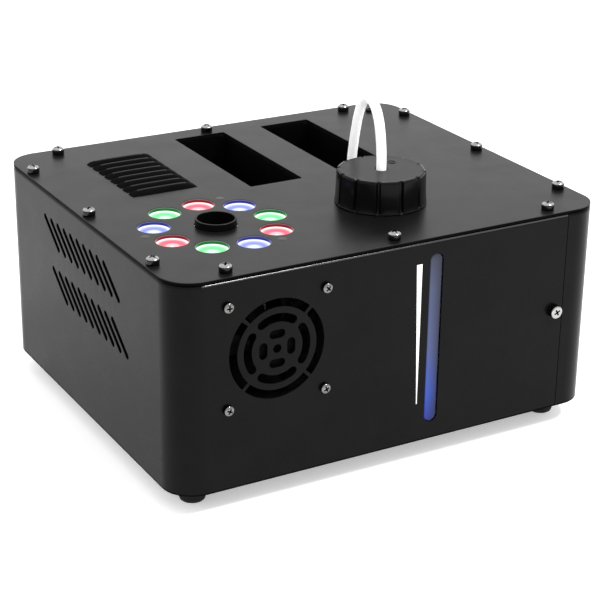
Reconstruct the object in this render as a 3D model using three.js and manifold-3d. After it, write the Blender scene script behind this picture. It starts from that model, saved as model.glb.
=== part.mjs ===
// A fog machine: a folded sheet-metal housing with a spray nozzle and a ring of LEDs on its top plate,
// a refillable fluid tank with a screw cap and a suction hose, a cooling fan, a heater and a pump.
// Millimetres, +Z up, front face towards -Y. The origin lies on the floor under the middle of the housing.
import * as THREE from "three";
import { mergeVertices } from "three/addons/utils/BufferGeometryUtils.js";
import Module from "manifold-3d";

const wasm = await Module();
wasm.setup();

// ---------------------------------------------------------------- driving dimensions
const GAP = 0.3; // clearance between pieces that touch
const SHEET = 1.5; // folded steel sheet
const WIDTH = 332;
const DEPTH = 289;
const CORNER = 22; // radius of the housing's vertical corners
const FOOT = { height: 14.9, radius: 9.5, x: 142.5, y: 119 };
const HOUSING_Z = FOOT.height + 0.1; // lower edge of the walls
const TOP = HOUSING_Z + 149.5; // upper face of the top plate
const TOP_PLATE = 2;
const SHELL_TOP = TOP - TOP_PLATE - GAP;
const FLANGE = 16; // how far the shell's top flange reaches in from the outside
const BEND = 2.2; // outer radius where a wall folds into the flange
const FRONT = -DEPTH / 2;
const BACK = DEPTH / 2;
const SEAM = { x: 136.2, gap: 0.4 }; // where the side cover meets the shell, front and back
const BASE_TOP = HOUSING_Z + 0.2 + SHEET;

const FAN = { x: -93, z: HOUSING_Z + 93.7, size: 80, depth: 25, screws: 71.5 };
const NOZZLE = { x: -92, y: -56, radius: 14.2, wall: 1.5, rise: 4.6 };
const LED = { count: 9, ring: 41.6, hole: 11.5 };
const STUD = { ring: 52, angles: [60, 180, 300] };
const GRIP = { width: 42, length: 125, xs: [-13.9, 60.7], y: 64, depth: 48, wall: 1.2 };
const LOUVRE = { count: 8, x0: -119, x1: -68.5, y: 18.2, pitch: 10.56, depth: 8, rise: 2.6 };
const SLOT = { count: 10, pitch: 11.48, length: 33.2, width: 3.6, angle: 38.1 };
const SLOT_ROWS = [
  { y: 55, z: HOUSING_Z + 119.2 },
  { y: 43.3, z: HOUSING_Z + 83.1 },
];
const WINDOW = { x: 28, width: 10.4, z0: HOUSING_Z + 12.9, z1: HOUSING_Z + 137.8 };
const TANK = { x0: -2, x1: 120, y0: -138, y1: -24, z0: BASE_TOP + 1.3, z1: 150, wall: 2.5, corner: 4 };
const CAP = { x: 31, y: -66.8, height: 23.6, base: 33.1, rim: 31.4, bore: 4.3, flutes: 12 };
const NECK = { outer: 25.5, inner: 22, top: TOP + 16 };
const THUMB = { x: 128.8, z: HOUSING_Z + 76.2, radius: 4.9, reach: 4.4 };
const HOSE = { radius: 3.5, x: 41, y: -10.2 }; // x, y: where it enters the top plate
const PUMP = { x: 41, z: 40, y0: 15, y1: 75, radius: 17 };
const HEATER = { radius: 34, base: 40, neck: 20, top: 120 };
const PANEL = { x: -95, z: 109, width: 104, height: 54, thick: 1.6 };
const BUTTON = { radius: 4, z: 94, pitch: 22 };
const INLET = { x: 88, z: 62, width: 50, height: 66, face: BACK + 2.8 };
const ROCKER = { z: 80, tilt: 10, width: 26, pin: 4.8 }; // pin: how far behind the face it turns
const DRAWER = { z: 62, width: 31, height: 8.4 };
const XLR = { xs: [24, -12], z: 56, width: 26, height: 31, shell: 11.5 };

const TOP_SCREWS = [
  ...[-102, 0, 102].map((y) => [-160, y]),
  ...[-102, 0, 102].map((y) => [158.5, y]),
  ...[-125, 0, 125].map((x) => [x, -134.5]),
  ...[-127.5, -3.5, 120.5].map((x) => [x, 134.5]),
];
const SCREW = { radius: 4.5, rise: 3.7, shank: 2, hole: 2.4 };

// The hose's centreline over the top plate: straight out of the cap, over, and down into the grommet.
// Each pair is the distance towards the grommet and the height above the top plate.
const HOSE_ARCH = [
  [0, -4], [0, 12], [0, 23.5], [0.5, 33.5], [1.9, 41.5], [4.1, 49.4], [7.4, 56.6], [12.2, 62.4], [18.6, 66], [25.6, 66.9],
  [32.4, 64.9], [39.3, 59.4], [45.1, 50], [49.7, 38.4], [53.6, 25.4], [56.3, 13], [57.5, 1], [57.5, -12],
];
const INNER_HOSE = [
  [41, -10.2, 152.2], [41, -10.2, 110], [41, -10.2, 66], [41, -8, 54], [41, -1, 44.5], [41, 8, 40.4], [41, 14.6, 40],
];
const FEED_PIPE = [
  [41, 75.4, 40], [41, 84, 40], [36, 93, 41], [22, 97, 43], [0, 90, 45], [-20, 62, 47], [-28, 20, 48],
  [-33, -20, 47], [-40, -46, 45.5], [-48, -55, 45], [-57.6, -56, 45],
];

// ---------------------------------------------------------------- materials
function finish(color, roughness, metalness) {
  return new THREE.MeshStandardMaterial({ color, roughness, metalness });
}
const POWDER_COAT = finish(0x1b1c1d, 0.5, 0.2);
const PLASTIC = finish(0x101011, 0.45, 0);
const RUBBER = finish(0x0c0c0c, 0.85, 0);
const NICKEL = finish(0xc9c7c2, 0.28, 1);
const ALUMINIUM = finish(0xa9abad, 0.4, 1);
const HDPE = finish(0xe6e8e6, 0.5, 0);
const SILICONE = finish(0xf3f4f2, 0.4, 0);
const BOARD = finish(0x14402a, 0.6, 0);
const LIT = [finish(0x8df0a0, 0.2, 0), finish(0x7f86ff, 0.2, 0), finish(0xff7a88, 0.2, 0)];
const DIFFUSER = finish(0x5f74e0, 0.35, 0);

// ---------------------------------------------------------------- solids
// A closed geometry as a manifold solid, turned so that its faces point out.
function solid(geometry) {
  const bare = geometry.clone();
  bare.deleteAttribute("normal");
  bare.deleteAttribute("uv");
  const merged = mergeVertices(bare, 1e-3);
  const p = merged.attributes.position.array;
  const faces = [];
  let volume = 0;
  const index = merged.index.array;
  for (let i = 0; i < index.length; i += 3) {
    const [a, b, c] = [index[i], index[i + 1], index[i + 2]];
    if (a === b || b === c || c === a) continue;
    faces.push([a, b, c]);
    const va = new THREE.Vector3().fromArray(p, a * 3);
    const vb = new THREE.Vector3().fromArray(p, b * 3);
    const vc = new THREE.Vector3().fromArray(p, c * 3);
    volume += va.dot(vb.cross(vc));
  }
  const ordered = volume < 0 ? faces.map(([a, b, c]) => [a, c, b]) : faces;
  const triVerts = new Uint32Array(ordered.flat());
  return new wasm.Manifold(new wasm.Mesh({ numProp: 3, vertProperties: p, triVerts }));
}

function geometryOf(manifold) {
  const { vertProperties, triVerts } = manifold.getMesh();
  const geometry = new THREE.BufferGeometry();
  geometry.setAttribute("position", new THREE.BufferAttribute(vertProperties, 3));
  geometry.setIndex(new THREE.BufferAttribute(triVerts, 1));
  geometry.computeVertexNormals();
  return geometry;
}

function union(...parts) {
  return parts.reduce((whole, next) => whole.add(next));
}

function box(x0, x1, y0, y1, z0, z1) {
  const geometry = new THREE.BoxGeometry(x1 - x0, y1 - y0, z1 - z0);
  geometry.translate((x0 + x1) / 2, (y0 + y1) / 2, (z0 + z1) / 2);
  return solid(geometry);
}

// Each quarter arc gets 2 * smooth segments.
function extrude(shape, depth, smooth = 3) {
  return new THREE.ExtrudeGeometry(shape, { depth, bevelEnabled: false, curveSegments: smooth });
}
function extrudeZ(shape, z0, z1, smooth) {
  return solid(extrude(shape, z1 - z0, smooth).translate(0, 0, z0));
}
// A shape drawn in X and Z, extruded from y0 to y1.
function extrudeY(shape, y0, y1, smooth) {
  return solid(extrude(shape, y1 - y0, smooth).rotateX(Math.PI / 2).translate(0, y1, 0));
}
// A shape drawn in Y and Z, extruded from x0 to x1.
function extrudeX(shape, x0, x1, smooth) {
  const geometry = extrude(shape, x1 - x0, smooth).rotateX(Math.PI / 2).rotateZ(Math.PI / 2);
  return solid(geometry.translate(x0, 0, 0));
}

function turn(profile, segments) {
  return new THREE.LatheGeometry(profile.map(([r, h]) => new THREE.Vector2(r, h)), segments);
}
// Turned about a vertical axis: the profile's pairs are radius and height.
function turnZ(profile, segments, x = 0, y = 0) {
  return solid(turn(profile, segments).rotateX(Math.PI / 2).translate(x, y, 0));
}
// Turned about an axis along Y: the profile's pairs are radius and Y.
function turnY(profile, segments, x, z) {
  return solid(turn(profile, segments).translate(x, 0, z));
}

// ---------------------------------------------------------------- outlines
function roundedRect(halfX, halfY, r, cx = 0, cy = 0) {
  const shape = new THREE.Shape();
  shape.absarc(cx + halfX - r, cy + halfY - r, r, 0, Math.PI / 2);
  shape.absarc(cx - halfX + r, cy + halfY - r, r, Math.PI / 2, Math.PI);
  shape.absarc(cx - halfX + r, cy - halfY + r, r, Math.PI, 1.5 * Math.PI);
  shape.absarc(cx + halfX - r, cy - halfY + r, r, 1.5 * Math.PI, 2 * Math.PI);
  shape.closePath();
  return shape;
}
function circle(r, cx = 0, cy = 0) {
  return roundedRect(r, r, r, cx, cy);
}
// The housing's outline, moved in by inset.
function outline(inset) {
  return roundedRect(WIDTH / 2 - inset, DEPTH / 2 - inset, CORNER - inset);
}
function obround(cx, cy, length, width, degrees) {
  const a = THREE.MathUtils.degToRad(degrees);
  const half = (length - width) / 2;
  const [ux, uy] = [Math.cos(a) * half, Math.sin(a) * half];
  const shape = new THREE.Shape();
  shape.absarc(cx + ux, cy + uy, width / 2, a - Math.PI / 2, a + Math.PI / 2);
  shape.absarc(cx - ux, cy - uy, width / 2, a + Math.PI / 2, a + 1.5 * Math.PI);
  shape.closePath();
  return shape;
}
// A slot bent round (cx, cy), centred on the given direction. Its ends leave a bridge to the next slot.
function arcSlot(cx, cy, inner, outer, degrees, bridge) {
  const middle = THREE.MathUtils.degToRad(degrees);
  const half = Math.PI / 4 - bridge / (inner + outer);
  const shape = new THREE.Shape();
  shape.absarc(cx, cy, outer, middle - half, middle + half);
  shape.absarc(cx, cy, inner, middle + half, middle - half, true);
  shape.closePath();
  return shape;
}
function polar(cx, cy, r, degrees) {
  const a = THREE.MathUtils.degToRad(degrees);
  return [cx + r * Math.cos(a), cy + r * Math.sin(a)];
}
function around(count) {
  return Array.from({ length: count }, (_, k) => (360 / count) * k);
}

// ---------------------------------------------------------------- the assembly
const machine = new THREE.Group();
function place(name, manifold, material) {
  const mesh = new THREE.Mesh(geometryOf(manifold), material);
  mesh.name = name;
  machine.add(mesh);
}

// The housing's outside as one block, with its upper edge rounded.
function housingBlock() {
  const below = 6;
  const depth = SHELL_TOP - HOUSING_Z + below - 2 * BEND;
  const geometry = new THREE.ExtrudeGeometry(outline(0), {
    depth,
    curveSegments: 3,
    bevelSegments: 2,
    bevelSize: BEND,
    bevelThickness: BEND,
    bevelOffset: -BEND,
  });
  geometry.translate(0, 0, HOUSING_Z - below + BEND);
  const under = box(-WIDTH, WIDTH, -DEPTH, DEPTH, HOUSING_Z - 20, HOUSING_Z);
  return solid(geometry).subtract(under);
}

// The grille in front of the fan: two rings of bent slots, four short ones and a centre hole.
function fanGrille() {
  const shapes = [];
  for (const direction of around(4)) {
    shapes.push(arcSlot(FAN.x, FAN.z, 29, 34.8, direction, 2.4));
    shapes.push(arcSlot(FAN.x, FAN.z, 18.6, 24.4, direction, 4.2));
    const [x, z] = polar(FAN.x, FAN.z, 10.2, direction);
    shapes.push(obround(x, z, 11.5, 5.9, direction + 90));
  }
  shapes.push(circle(3, FAN.x, FAN.z));
  return shapes;
}

function frontCutouts() {
  const window = roundedRect(
    WINDOW.width / 2,
    (WINDOW.z1 - WINDOW.z0) / 2,
    WINDOW.width / 2,
    WINDOW.x,
    (WINDOW.z0 + WINDOW.z1) / 2,
  );
  const holes = [circle(SCREW.hole, THUMB.x, THUMB.z)];
  const half = FAN.screws / 2;
  for (const dx of [-half, half]) {
    for (const dz of [-half, half]) holes.push(circle(SCREW.hole, FAN.x + dx, FAN.z + dz));
  }
  const wide = extrudeY([...fanGrille(), window], FRONT - 5, FRONT + 5, 3);
  return wide.add(extrudeY(holes, FRONT - 5, FRONT + 5, 1));
}

function sideSlots() {
  const shapes = [];
  for (const row of SLOT_ROWS) {
    for (let k = 0; k < SLOT.count; k++) {
      shapes.push(obround(row.y - SLOT.pitch * k, row.z, SLOT.length, SLOT.width, SLOT.angle));
    }
  }
  return extrudeX(shapes, -WIDTH / 2 - 5, -WIDTH / 2 + 5, 1);
}

function backCutouts() {
  const shapes = [
    roundedRect(PANEL.width / 2 - 4, PANEL.height / 2 - 4, 2, PANEL.x, PANEL.z),
    roundedRect(INLET.width / 2 - 1.7, INLET.height / 2 - 1.7, 1, INLET.x, INLET.z),
    circle(SCREW.hole, THUMB.x, THUMB.z),
  ];
  for (const x of XLR.xs) shapes.push(circle(XLR.shell + GAP, x, XLR.z));
  return extrudeY(shapes, BACK - 5, BACK + 5, 2);
}

function screwHoles() {
  const shapes = TOP_SCREWS.map(([x, y]) => circle(SCREW.hole, x, y));
  return extrudeZ(shapes, SHELL_TOP - 10, TOP + 10, 1);
}

// Front, left and back walls in one folded sheet, with the flange that carries the top plate.
function mainShell() {
  const inside = extrudeZ(outline(SHEET), HOUSING_Z - 10, SHELL_TOP - SHEET);
  const opening = extrudeZ(outline(FLANGE), SHELL_TOP - 10, SHELL_TOP + 10);
  const walls = housingBlock().subtract(inside).subtract(opening);
  const leftOfSeam = box(-WIDTH, SEAM.x - SEAM.gap / 2, -DEPTH, DEPTH, 0, TOP);
  const rightRail = extrudeZ(outline(SHEET + GAP), SHELL_TOP - SHEET, SHELL_TOP).subtract(opening);
  const rightOfSeam = box(SEAM.x - 1, WIDTH, -DEPTH, DEPTH, 0, TOP);
  return walls
    .intersect(leftOfSeam)
    .add(rightRail.intersect(rightOfSeam))
    .subtract(frontCutouts())
    .subtract(sideSlots())
    .subtract(backCutouts())
    .subtract(screwHoles());
}

// The right wall, wrapped round both corners, with a tab behind the shell at each end for a thumb screw.
function sideCover() {
  const inside = extrudeZ(outline(SHEET), HOUSING_Z - 10, TOP);
  const rightOfSeam = box(SEAM.x + SEAM.gap / 2, WIDTH, -DEPTH, DEPTH, 0, TOP);
  let cover = housingBlock().subtract(inside).intersect(rightOfSeam);
  const [z0, z1] = [THUMB.z - 55, THUMB.z + 55];
  const face = BACK - SHEET - GAP;
  for (const side of [-1, 1]) {
    const [a, b] = [side * face, side * (face - SHEET)].sort((p, q) => p - q);
    const [c, d] = [side * (face + 0.5), side * (face - SHEET)].sort((p, q) => p - q);
    const tab = box(THUMB.x - 10, SEAM.x + 6, a, b, z0, z1);
    const joggle = box(SEAM.x + 1, SEAM.x + 6, c, d, z0, z1);
    cover = cover.add(tab).add(joggle);
  }
  const hole = extrudeY(circle(SCREW.hole, THUMB.x, THUMB.z), -DEPTH, DEPTH, 1);
  return cover.subtract(hole);
}

function basePlate() {
  const z0 = HOUSING_Z + 0.2;
  const tray = extrudeZ(outline(SHEET + GAP), z0, z0 + 9);
  return tray.subtract(extrudeZ(outline(2 * SHEET + GAP), BASE_TOP, z0 + 20));
}

// A pressed louvre: a hood that stands up from the plate, open towards the front.
function louvreHood(y) {
  const hood = new THREE.Shape();
  hood.moveTo(y, TOP - 1);
  hood.lineTo(y + LOUVRE.depth, TOP - 1);
  hood.lineTo(y + LOUVRE.depth, TOP + LOUVRE.rise);
  hood.lineTo(y + LOUVRE.depth - 1.2, TOP + LOUVRE.rise);
  hood.lineTo(y, TOP);
  return extrudeX(hood, LOUVRE.x0, LOUVRE.x1, 1);
}
function louvreOpening(y) {
  const hollow = new THREE.Shape();
  hollow.moveTo(y + 3, TOP - TOP_PLATE - 1);
  hollow.lineTo(y + LOUVRE.depth, TOP - TOP_PLATE - 1);
  hollow.lineTo(y + LOUVRE.depth + 1, TOP + 0.01);
  hollow.lineTo(y + LOUVRE.depth + 1, TOP + LOUVRE.rise - 0.8);
  hollow.lineTo(y + LOUVRE.depth - 1.2, TOP + LOUVRE.rise - 0.8);
  hollow.lineTo(y + 3, TOP);
  return extrudeX(hollow, LOUVRE.x0 + 1, LOUVRE.x1 - 1, 1);
}

function topPlate() {
  const sheet = outline(0);
  sheet.holes.push(circle(NOZZLE.radius + 0.4, NOZZLE.x, NOZZLE.y));
  sheet.holes.push(circle(NECK.outer + 1.8, CAP.x, CAP.y));
  for (const x of GRIP.xs) sheet.holes.push(roundedRect(GRIP.width / 2, GRIP.length / 2, 1.5, x, GRIP.y));
  for (const a of around(LED.count)) {
    sheet.holes.push(circle(LED.hole, ...polar(NOZZLE.x, NOZZLE.y, LED.ring, a)));
  }
  let plate = extrudeZ(sheet, TOP - TOP_PLATE, TOP, 2).subtract(screwHoles());
  plate = plate.subtract(extrudeZ(circle(HOSE.radius + 2.3, HOSE.x, HOSE.y), TOP - 5, TOP + 5, 1));
  for (let k = 0; k < LOUVRE.count; k++) {
    const y = LOUVRE.y + LOUVRE.pitch * k;
    plate = plate.add(louvreHood(y)).subtract(louvreOpening(y));
  }
  return plate;
}

// A recess for the fingers, hung under the top plate by its rim. The bar between the two is the handle.
function gripPocket(x) {
  const [hx, hy] = [GRIP.width / 2 - 0.6, GRIP.length / 2 - 0.6];
  const rim = extrudeZ(roundedRect(hx + 4.4, hy + 2.2, 3, x, GRIP.y), SHELL_TOP - 1.2, SHELL_TOP, 1);
  const outside = roundedRect(hx + GRIP.wall, hy + GRIP.wall, 3, x, GRIP.y);
  const tub = extrudeZ(outside, TOP - GRIP.depth, SHELL_TOP, 1);
  const inside = extrudeZ(roundedRect(hx, hy, 2, x, GRIP.y), TOP - GRIP.depth + GRIP.wall, TOP, 1);
  return rim.add(tub).subtract(inside);
}

function foot(x, y) {
  const { radius: r, height: h } = FOOT;
  const profile = [[3, 0], [r - 2.2, 0], [r - 0.9, 1], [r, 4], [r, h], [0, h], [0, 6], [3, 6], [3, 0]];
  return turnZ(profile, 14, x, y);
}

function panScrew(x, y) {
  const { radius: r, rise, shank } = SCREW;
  const seat = TOP + GAP;
  const profile = [
    [0, TOP - 8], [shank, TOP - 8], [shank, seat], [r, seat], [r, seat + rise * 0.45],
    [r * 0.78, seat + rise * 0.85], [0, seat + rise],
  ];
  return turnZ(profile, 8, x, y);
}

// side is -1 on the front and 1 on the back.
function thumbScrew(side) {
  const out = (d) => side * (BACK + d);
  const { radius: r, reach } = THUMB;
  const profile = [
    [0, out(-8)], [SCREW.shank, out(-8)], [SCREW.shank, out(GAP)], [r - 1.2, out(GAP)], [r - 1.2, out(1.6)],
    [r, out(2)], [r, out(reach - 0.6)], [r - 0.6, out(reach)], [0, out(reach)],
  ];
  return turnY(profile, 12, THUMB.x, THUMB.z);
}

function fanFrame() {
  const [y0, y1] = [FRONT + SHEET + GAP, FRONT + SHEET + GAP + FAN.depth];
  const square = roundedRect(FAN.size / 2, FAN.size / 2, 4, FAN.x, FAN.z);
  square.holes.push(circle(38, FAN.x, FAN.z));
  const half = FAN.screws / 2;
  for (const dx of [-half, half]) {
    for (const dz of [-half, half]) square.holes.push(circle(SCREW.hole, FAN.x + dx, FAN.z + dz));
  }
  const reach = FAN.size / 2 - 1;
  const across = box(FAN.x - reach, FAN.x + reach, y1 - 3, y1, FAN.z - 2, FAN.z + 2);
  const upright = box(FAN.x - 2, FAN.x + 2, y1 - 3, y1, FAN.z - reach, FAN.z + reach);
  const motor = extrudeY(circle(17, FAN.x, FAN.z), y1 - 3, y1, 2);
  return union(extrudeY(square, y0, y1, 2), across, upright, motor);
}

function fanRotor() {
  const [y0, y1] = [FRONT + SHEET + GAP + 1.5, FRONT + SHEET + GAP + FAN.depth - 4];
  const middle = (y0 + y1) / 2;
  let rotor = extrudeY(circle(16.5, FAN.x, FAN.z), y0, y1, 2);
  for (const angle of around(7)) {
    const blade = new THREE.BoxGeometry(21.4, 1.5, 20);
    blade.rotateX(THREE.MathUtils.degToRad(50));
    blade.translate(25.6, 0, 0);
    blade.rotateY(THREE.MathUtils.degToRad(angle));
    blade.translate(FAN.x, middle, FAN.z);
    rotor = rotor.add(solid(blade));
  }
  return rotor;
}

function fluidTank() {
  const { x0, x1, y0, y1, z0, z1, wall, corner } = TANK;
  const [cx, cy] = [(x0 + x1) / 2, (y0 + y1) / 2];
  const block = (inset, from, to) => {
    const shape = roundedRect((x1 - x0) / 2 - inset, (y1 - y0) / 2 - inset, corner - inset, cx, cy);
    return extrudeZ(shape, from, to, 2);
  };
  const { outer, inner, top } = NECK;
  const neck = turnZ(
    [
      [0, z1 - 1], [outer, z1 - 1], [outer, top - 7], [outer + 1.3, top - 6.2], [outer + 1.3, top - 4.8],
      [outer, top - 4], [outer, top], [0, top],
    ],
    24, CAP.x, CAP.y,
  );
  const bore = turnZ([[0, z1 - 10], [inner, z1 - 10], [inner, top + 1], [0, top + 1]], 24, CAP.x, CAP.y);
  return block(0, z0, z1).add(neck).subtract(block(wall, z0 + wall, z1 - wall)).subtract(bore);
}

function tankCap() {
  const { base, rim, bore, height, flutes } = CAP;
  const foot = TOP + 0.6;
  const ceiling = NECK.top + 2 + 2 * GAP;
  const inner = NECK.outer + 1.9;
  let cap = turnZ(
    [
      [inner, foot], [base, foot], [base, foot + 2], [rim + 0.9, foot + 2.6], [rim, TOP + height - 2.2],
      [rim - 1.5, TOP + height], [bore, TOP + height], [bore, ceiling], [inner, ceiling], [inner, foot],
    ],
    36, CAP.x, CAP.y,
  );
  for (const angle of around(flutes)) {
    const groove = new THREE.BoxGeometry(3, 2.2, height);
    groove.translate(rim + 0.6, 0, TOP + 3.4 + height / 2);
    groove.rotateZ(THREE.MathUtils.degToRad(angle + 25));
    groove.translate(CAP.x, CAP.y, 0);
    cap = cap.subtract(solid(groove));
  }
  return cap;
}

function capSeal() {
  const [z0, z1] = [NECK.top + GAP, NECK.top + GAP + 2];
  const profile = [[20, z0], [NECK.outer, z0], [NECK.outer, z1], [20, z1], [20, z0]];
  return turnZ(profile, 20, CAP.x, CAP.y);
}

// A round tube along a smooth line through the points.
function tubeAlong(points, radius, sides, steps) {
  const section = new THREE.Shape();
  for (let k = 0; k < sides; k++) {
    const [u, v] = polar(0, 0, radius, (360 / sides) * k);
    if (k === 0) section.moveTo(u, v);
    else section.lineTo(u, v);
  }
  section.closePath();
  const path = new THREE.CatmullRomCurve3(points, false, "centripetal");
  return solid(new THREE.ExtrudeGeometry(section, { steps, extrudePath: path, bevelEnabled: false }));
}

function suctionHose() {
  const across = Math.hypot(HOSE.x - CAP.x, HOSE.y - CAP.y);
  const points = HOSE_ARCH.map(([s, h]) => {
    const x = CAP.x + ((HOSE.x - CAP.x) * s) / across;
    const y = CAP.y + ((HOSE.y - CAP.y) * s) / across;
    return new THREE.Vector3(x, y, TOP + h);
  });
  return tubeAlong(points, HOSE.radius, 10, 26);
}

function hoseGrommet() {
  const bore = HOSE.radius + GAP;
  const groove = HOSE.radius + 1.6;
  const flange = groove + 1.9;
  const profile = [
    [bore, TOP - 4.2], [flange - 0.6, TOP - 4.2], [flange - 0.6, SHELL_TOP], [groove, SHELL_TOP],
    [groove, TOP + GAP], [flange, TOP + GAP], [flange - 1, TOP + 2], [bore, TOP + 2], [bore, TOP - 4.2],
  ];
  return turnZ(profile, 12, HOSE.x, HOSE.y);
}

// The stiff tube that hangs in the tank under the hose, with a filter at its foot.
function pickupTube() {
  const [low, top] = [TANK.z0 + TANK.wall + 2, TOP - 4 - GAP];
  const profile = [
    [2.4, low], [9, low], [9, low + 16], [7, low + 18], [4, low + 18], [4, top], [2.4, top], [2.4, low],
  ];
  return turnZ(profile, 10, CAP.x, CAP.y);
}

function pump() {
  const { x, z, y0, y1, radius: r } = PUMP;
  const body = turnY(
    [
      [0, y0], [3, y0], [3, y0 + 8], [9, y0 + 8], [9, y0 + 14], [r, y0 + 14], [r, y1 - 14],
      [8, y1 - 14], [8, y1 - 6], [2.4, y1 - 6], [2.4, y1], [0, y1],
    ],
    16, x, z,
  );
  const cradle = box(x - 20, x + 20, y0 + 18, y1 - 18, BASE_TOP + GAP, z - 12);
  return body.add(cradle);
}

function heaterBlock() {
  const { radius: r, base, neck, top } = HEATER;
  const low = BASE_TOP + GAP;
  const profile = [
    [0, low], [base, low], [base, low + 3], [neck, low + 3], [neck, 34], [r, 34], [r, top], [6, top],
    [4, top + 5], [4, top + 32], [1.2, top + 32], [1.2, top + 24], [0, top + 24],
  ];
  return turnZ(profile, 16, NOZZLE.x, NOZZLE.y);
}

function nozzleTube() {
  const { radius: r, wall, rise } = NOZZLE;
  const [low, high] = [HEATER.top + GAP, TOP + rise];
  const profile = [
    [r - wall, low], [r, low], [r, high - 1], [r - 0.5, high], [r - wall + 0.3, high], [r - wall, high - 0.6],
    [r - wall, low],
  ];
  return turnZ(profile, 24, NOZZLE.x, NOZZLE.y);
}

const LENS = { top: SHELL_TOP - GAP, low: SHELL_TOP - 12.1 };
const LED_BOARD_TOP = LENS.low - 1.8;

function ledBoard() {
  const ring = circle(56, NOZZLE.x, NOZZLE.y);
  ring.holes.push(circle(24, NOZZLE.x, NOZZLE.y));
  const posts = STUD.angles.map((a) => circle(3.2, ...polar(NOZZLE.x, NOZZLE.y, STUD.ring, a)));
  const chips = around(LED.count).map((a) => {
    const [x, y] = polar(NOZZLE.x, NOZZLE.y, LED.ring, a);
    return roundedRect(3.5, 3.5, 0.5, x, y);
  });
  return union(
    extrudeZ(ring, LED_BOARD_TOP - 1.6, LED_BOARD_TOP, 2),
    extrudeZ(posts, LED_BOARD_TOP - 0.5, SHELL_TOP, 1),
    extrudeZ(chips, LED_BOARD_TOP - 0.5, LED_BOARD_TOP + 1.5, 1),
  );
}

function ledLens(angle) {
  const { top, low } = LENS;
  const profile = [[0, low], [4.4, low], [10.6, top - 2], [12.4, top - 1.8], [12.4, top], [0, top + 0.2]];
  return turnZ(profile, 14, ...polar(NOZZLE.x, NOZZLE.y, LED.ring, angle));
}

function levelWindow() {
  const y = FRONT + SHEET + GAP;
  const [z0, z1] = [WINDOW.z0 - 3, WINDOW.z1 + 3];
  return box(WINDOW.x - 8, WINDOW.x + 8, y, y + 2, z0, z1);
}

function levelBacklight() {
  const y = TANK.y1 + GAP;
  const board = box(WINDOW.x - 7, WINDOW.x + 7, y + 1, y + 2.6, WINDOW.z0 + 4, TANK.z1 - 8);
  const strip = box(WINDOW.x - 2.5, WINDOW.x + 2.5, y, y + 1.2, WINDOW.z0 + 8, TANK.z1 - 12);
  return board.add(strip);
}

function mainBoard() {
  const y = BACK - 14;
  const [x0, x1] = [PANEL.x - 48, PANEL.x + 48];
  return union(
    box(x0, x1, y, y + 1.6, 70, 134),
    box(x0 + 6, x0 + 40, y - 26, y + 0.5, 78, 108),
    box(x1 - 38, x1 - 14, y - 12, y + 0.5, 76, 96),
    box(x1 - 30, x1 - 8, y - 16, y + 0.5, 106, 126),
    box(PANEL.x - 22, PANEL.x + 22, y + 1, y + 6, 108, 130),
  );
}

const BUTTONS = [-1.5, -0.5, 0.5, 1.5].map((k) => PANEL.x + BUTTON.pitch * k);

function controlPanel() {
  const shape = roundedRect(PANEL.width / 2, PANEL.height / 2, 4, PANEL.x, PANEL.z);
  for (const x of BUTTONS) shape.holes.push(circle(BUTTON.radius + 0.4, x, BUTTON.z));
  return extrudeY(shape, BACK + GAP, BACK + GAP + PANEL.thick, 2);
}

function menuButton(x) {
  const r = BUTTON.radius;
  const profile = [
    [0, BACK - 4], [2, BACK - 4], [2, BACK - 2.2], [r + 1.4, BACK - 2.2], [r + 1.4, BACK - 0.9],
    [r, BACK - 0.9], [r, BACK + 3.4], [r - 0.7, BACK + 3.9], [0, BACK + 4.1],
  ];
  return turnY(profile, 10, x, BUTTON.z);
}

// Inlet, fuse holder and switch frame moulded in one.
function mainsInlet() {
  const { x, z, width, height, face } = INLET;
  const flange = extrudeY(roundedRect(width / 2, height / 2, 3, x, z), BACK + GAP, face, 1);
  const body = box(x - width / 2 + 2, x + width / 2 - 2, BACK - 28, BACK + 1, z - height / 2 + 2, z + height / 2 - 2);
  const socket = new THREE.Shape();
  const [half, low, high] = [12.2, z - 26.5, z - 9.5];
  socket.moveTo(x - half, low);
  socket.lineTo(x + half, low);
  socket.lineTo(x + half, high - 5);
  socket.lineTo(x + half - 5, high);
  socket.lineTo(x - half + 5, high);
  socket.lineTo(x - half, high - 5);
  const well = extrudeY(socket, face - 17, face + 1, 1);
  const drawerSlot = box(
    x - DRAWER.width / 2 + 1, x + DRAWER.width / 2 - 1, face - 24, face + 1,
    DRAWER.z - DRAWER.height / 2 + 0.3, DRAWER.z + DRAWER.height / 2 - 0.3,
  );
  const rockerHole = box(
    x - ROCKER.width / 2 - 0.5, x + ROCKER.width / 2 + 0.5, face - 15, face + 1, ROCKER.z - 9.3, ROCKER.z + 9.3,
  );
  let inlet = flange.add(body).subtract(well).subtract(drawerSlot).subtract(rockerHole);
  for (const [dx, dz] of [[-7, -20], [7, -20], [0, -16]]) {
    inlet = inlet.add(box(x + dx - 1, x + dx + 1, face - 18, face - 5, z + dz - 2, z + dz + 2));
  }
  return inlet;
}

// The paddle's outline is drawn in Y and Z about its pin, with its face towards +Y, and then tilted
// so that the lower half is pressed in.
function rockerSwitch() {
  const paddle = new THREE.Shape();
  paddle.moveTo(3, -7.6);
  paddle.lineTo(1.7, 0);
  paddle.lineTo(3, 7.6);
  paddle.lineTo(0, 7.6);
  paddle.lineTo(-6, 3.6);
  paddle.lineTo(-6, -3.6);
  paddle.lineTo(0, -7.6);
  paddle.closePath();
  const half = ROCKER.width / 2;
  const geometry = extrude(paddle, 2 * half, 1).rotateX(Math.PI / 2).rotateZ(Math.PI / 2);
  geometry.translate(-half, 0, 0);
  geometry.rotateX(THREE.MathUtils.degToRad(-ROCKER.tilt));
  geometry.translate(INLET.x, INLET.face - ROCKER.pin, ROCKER.z);
  return solid(geometry);
}

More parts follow.
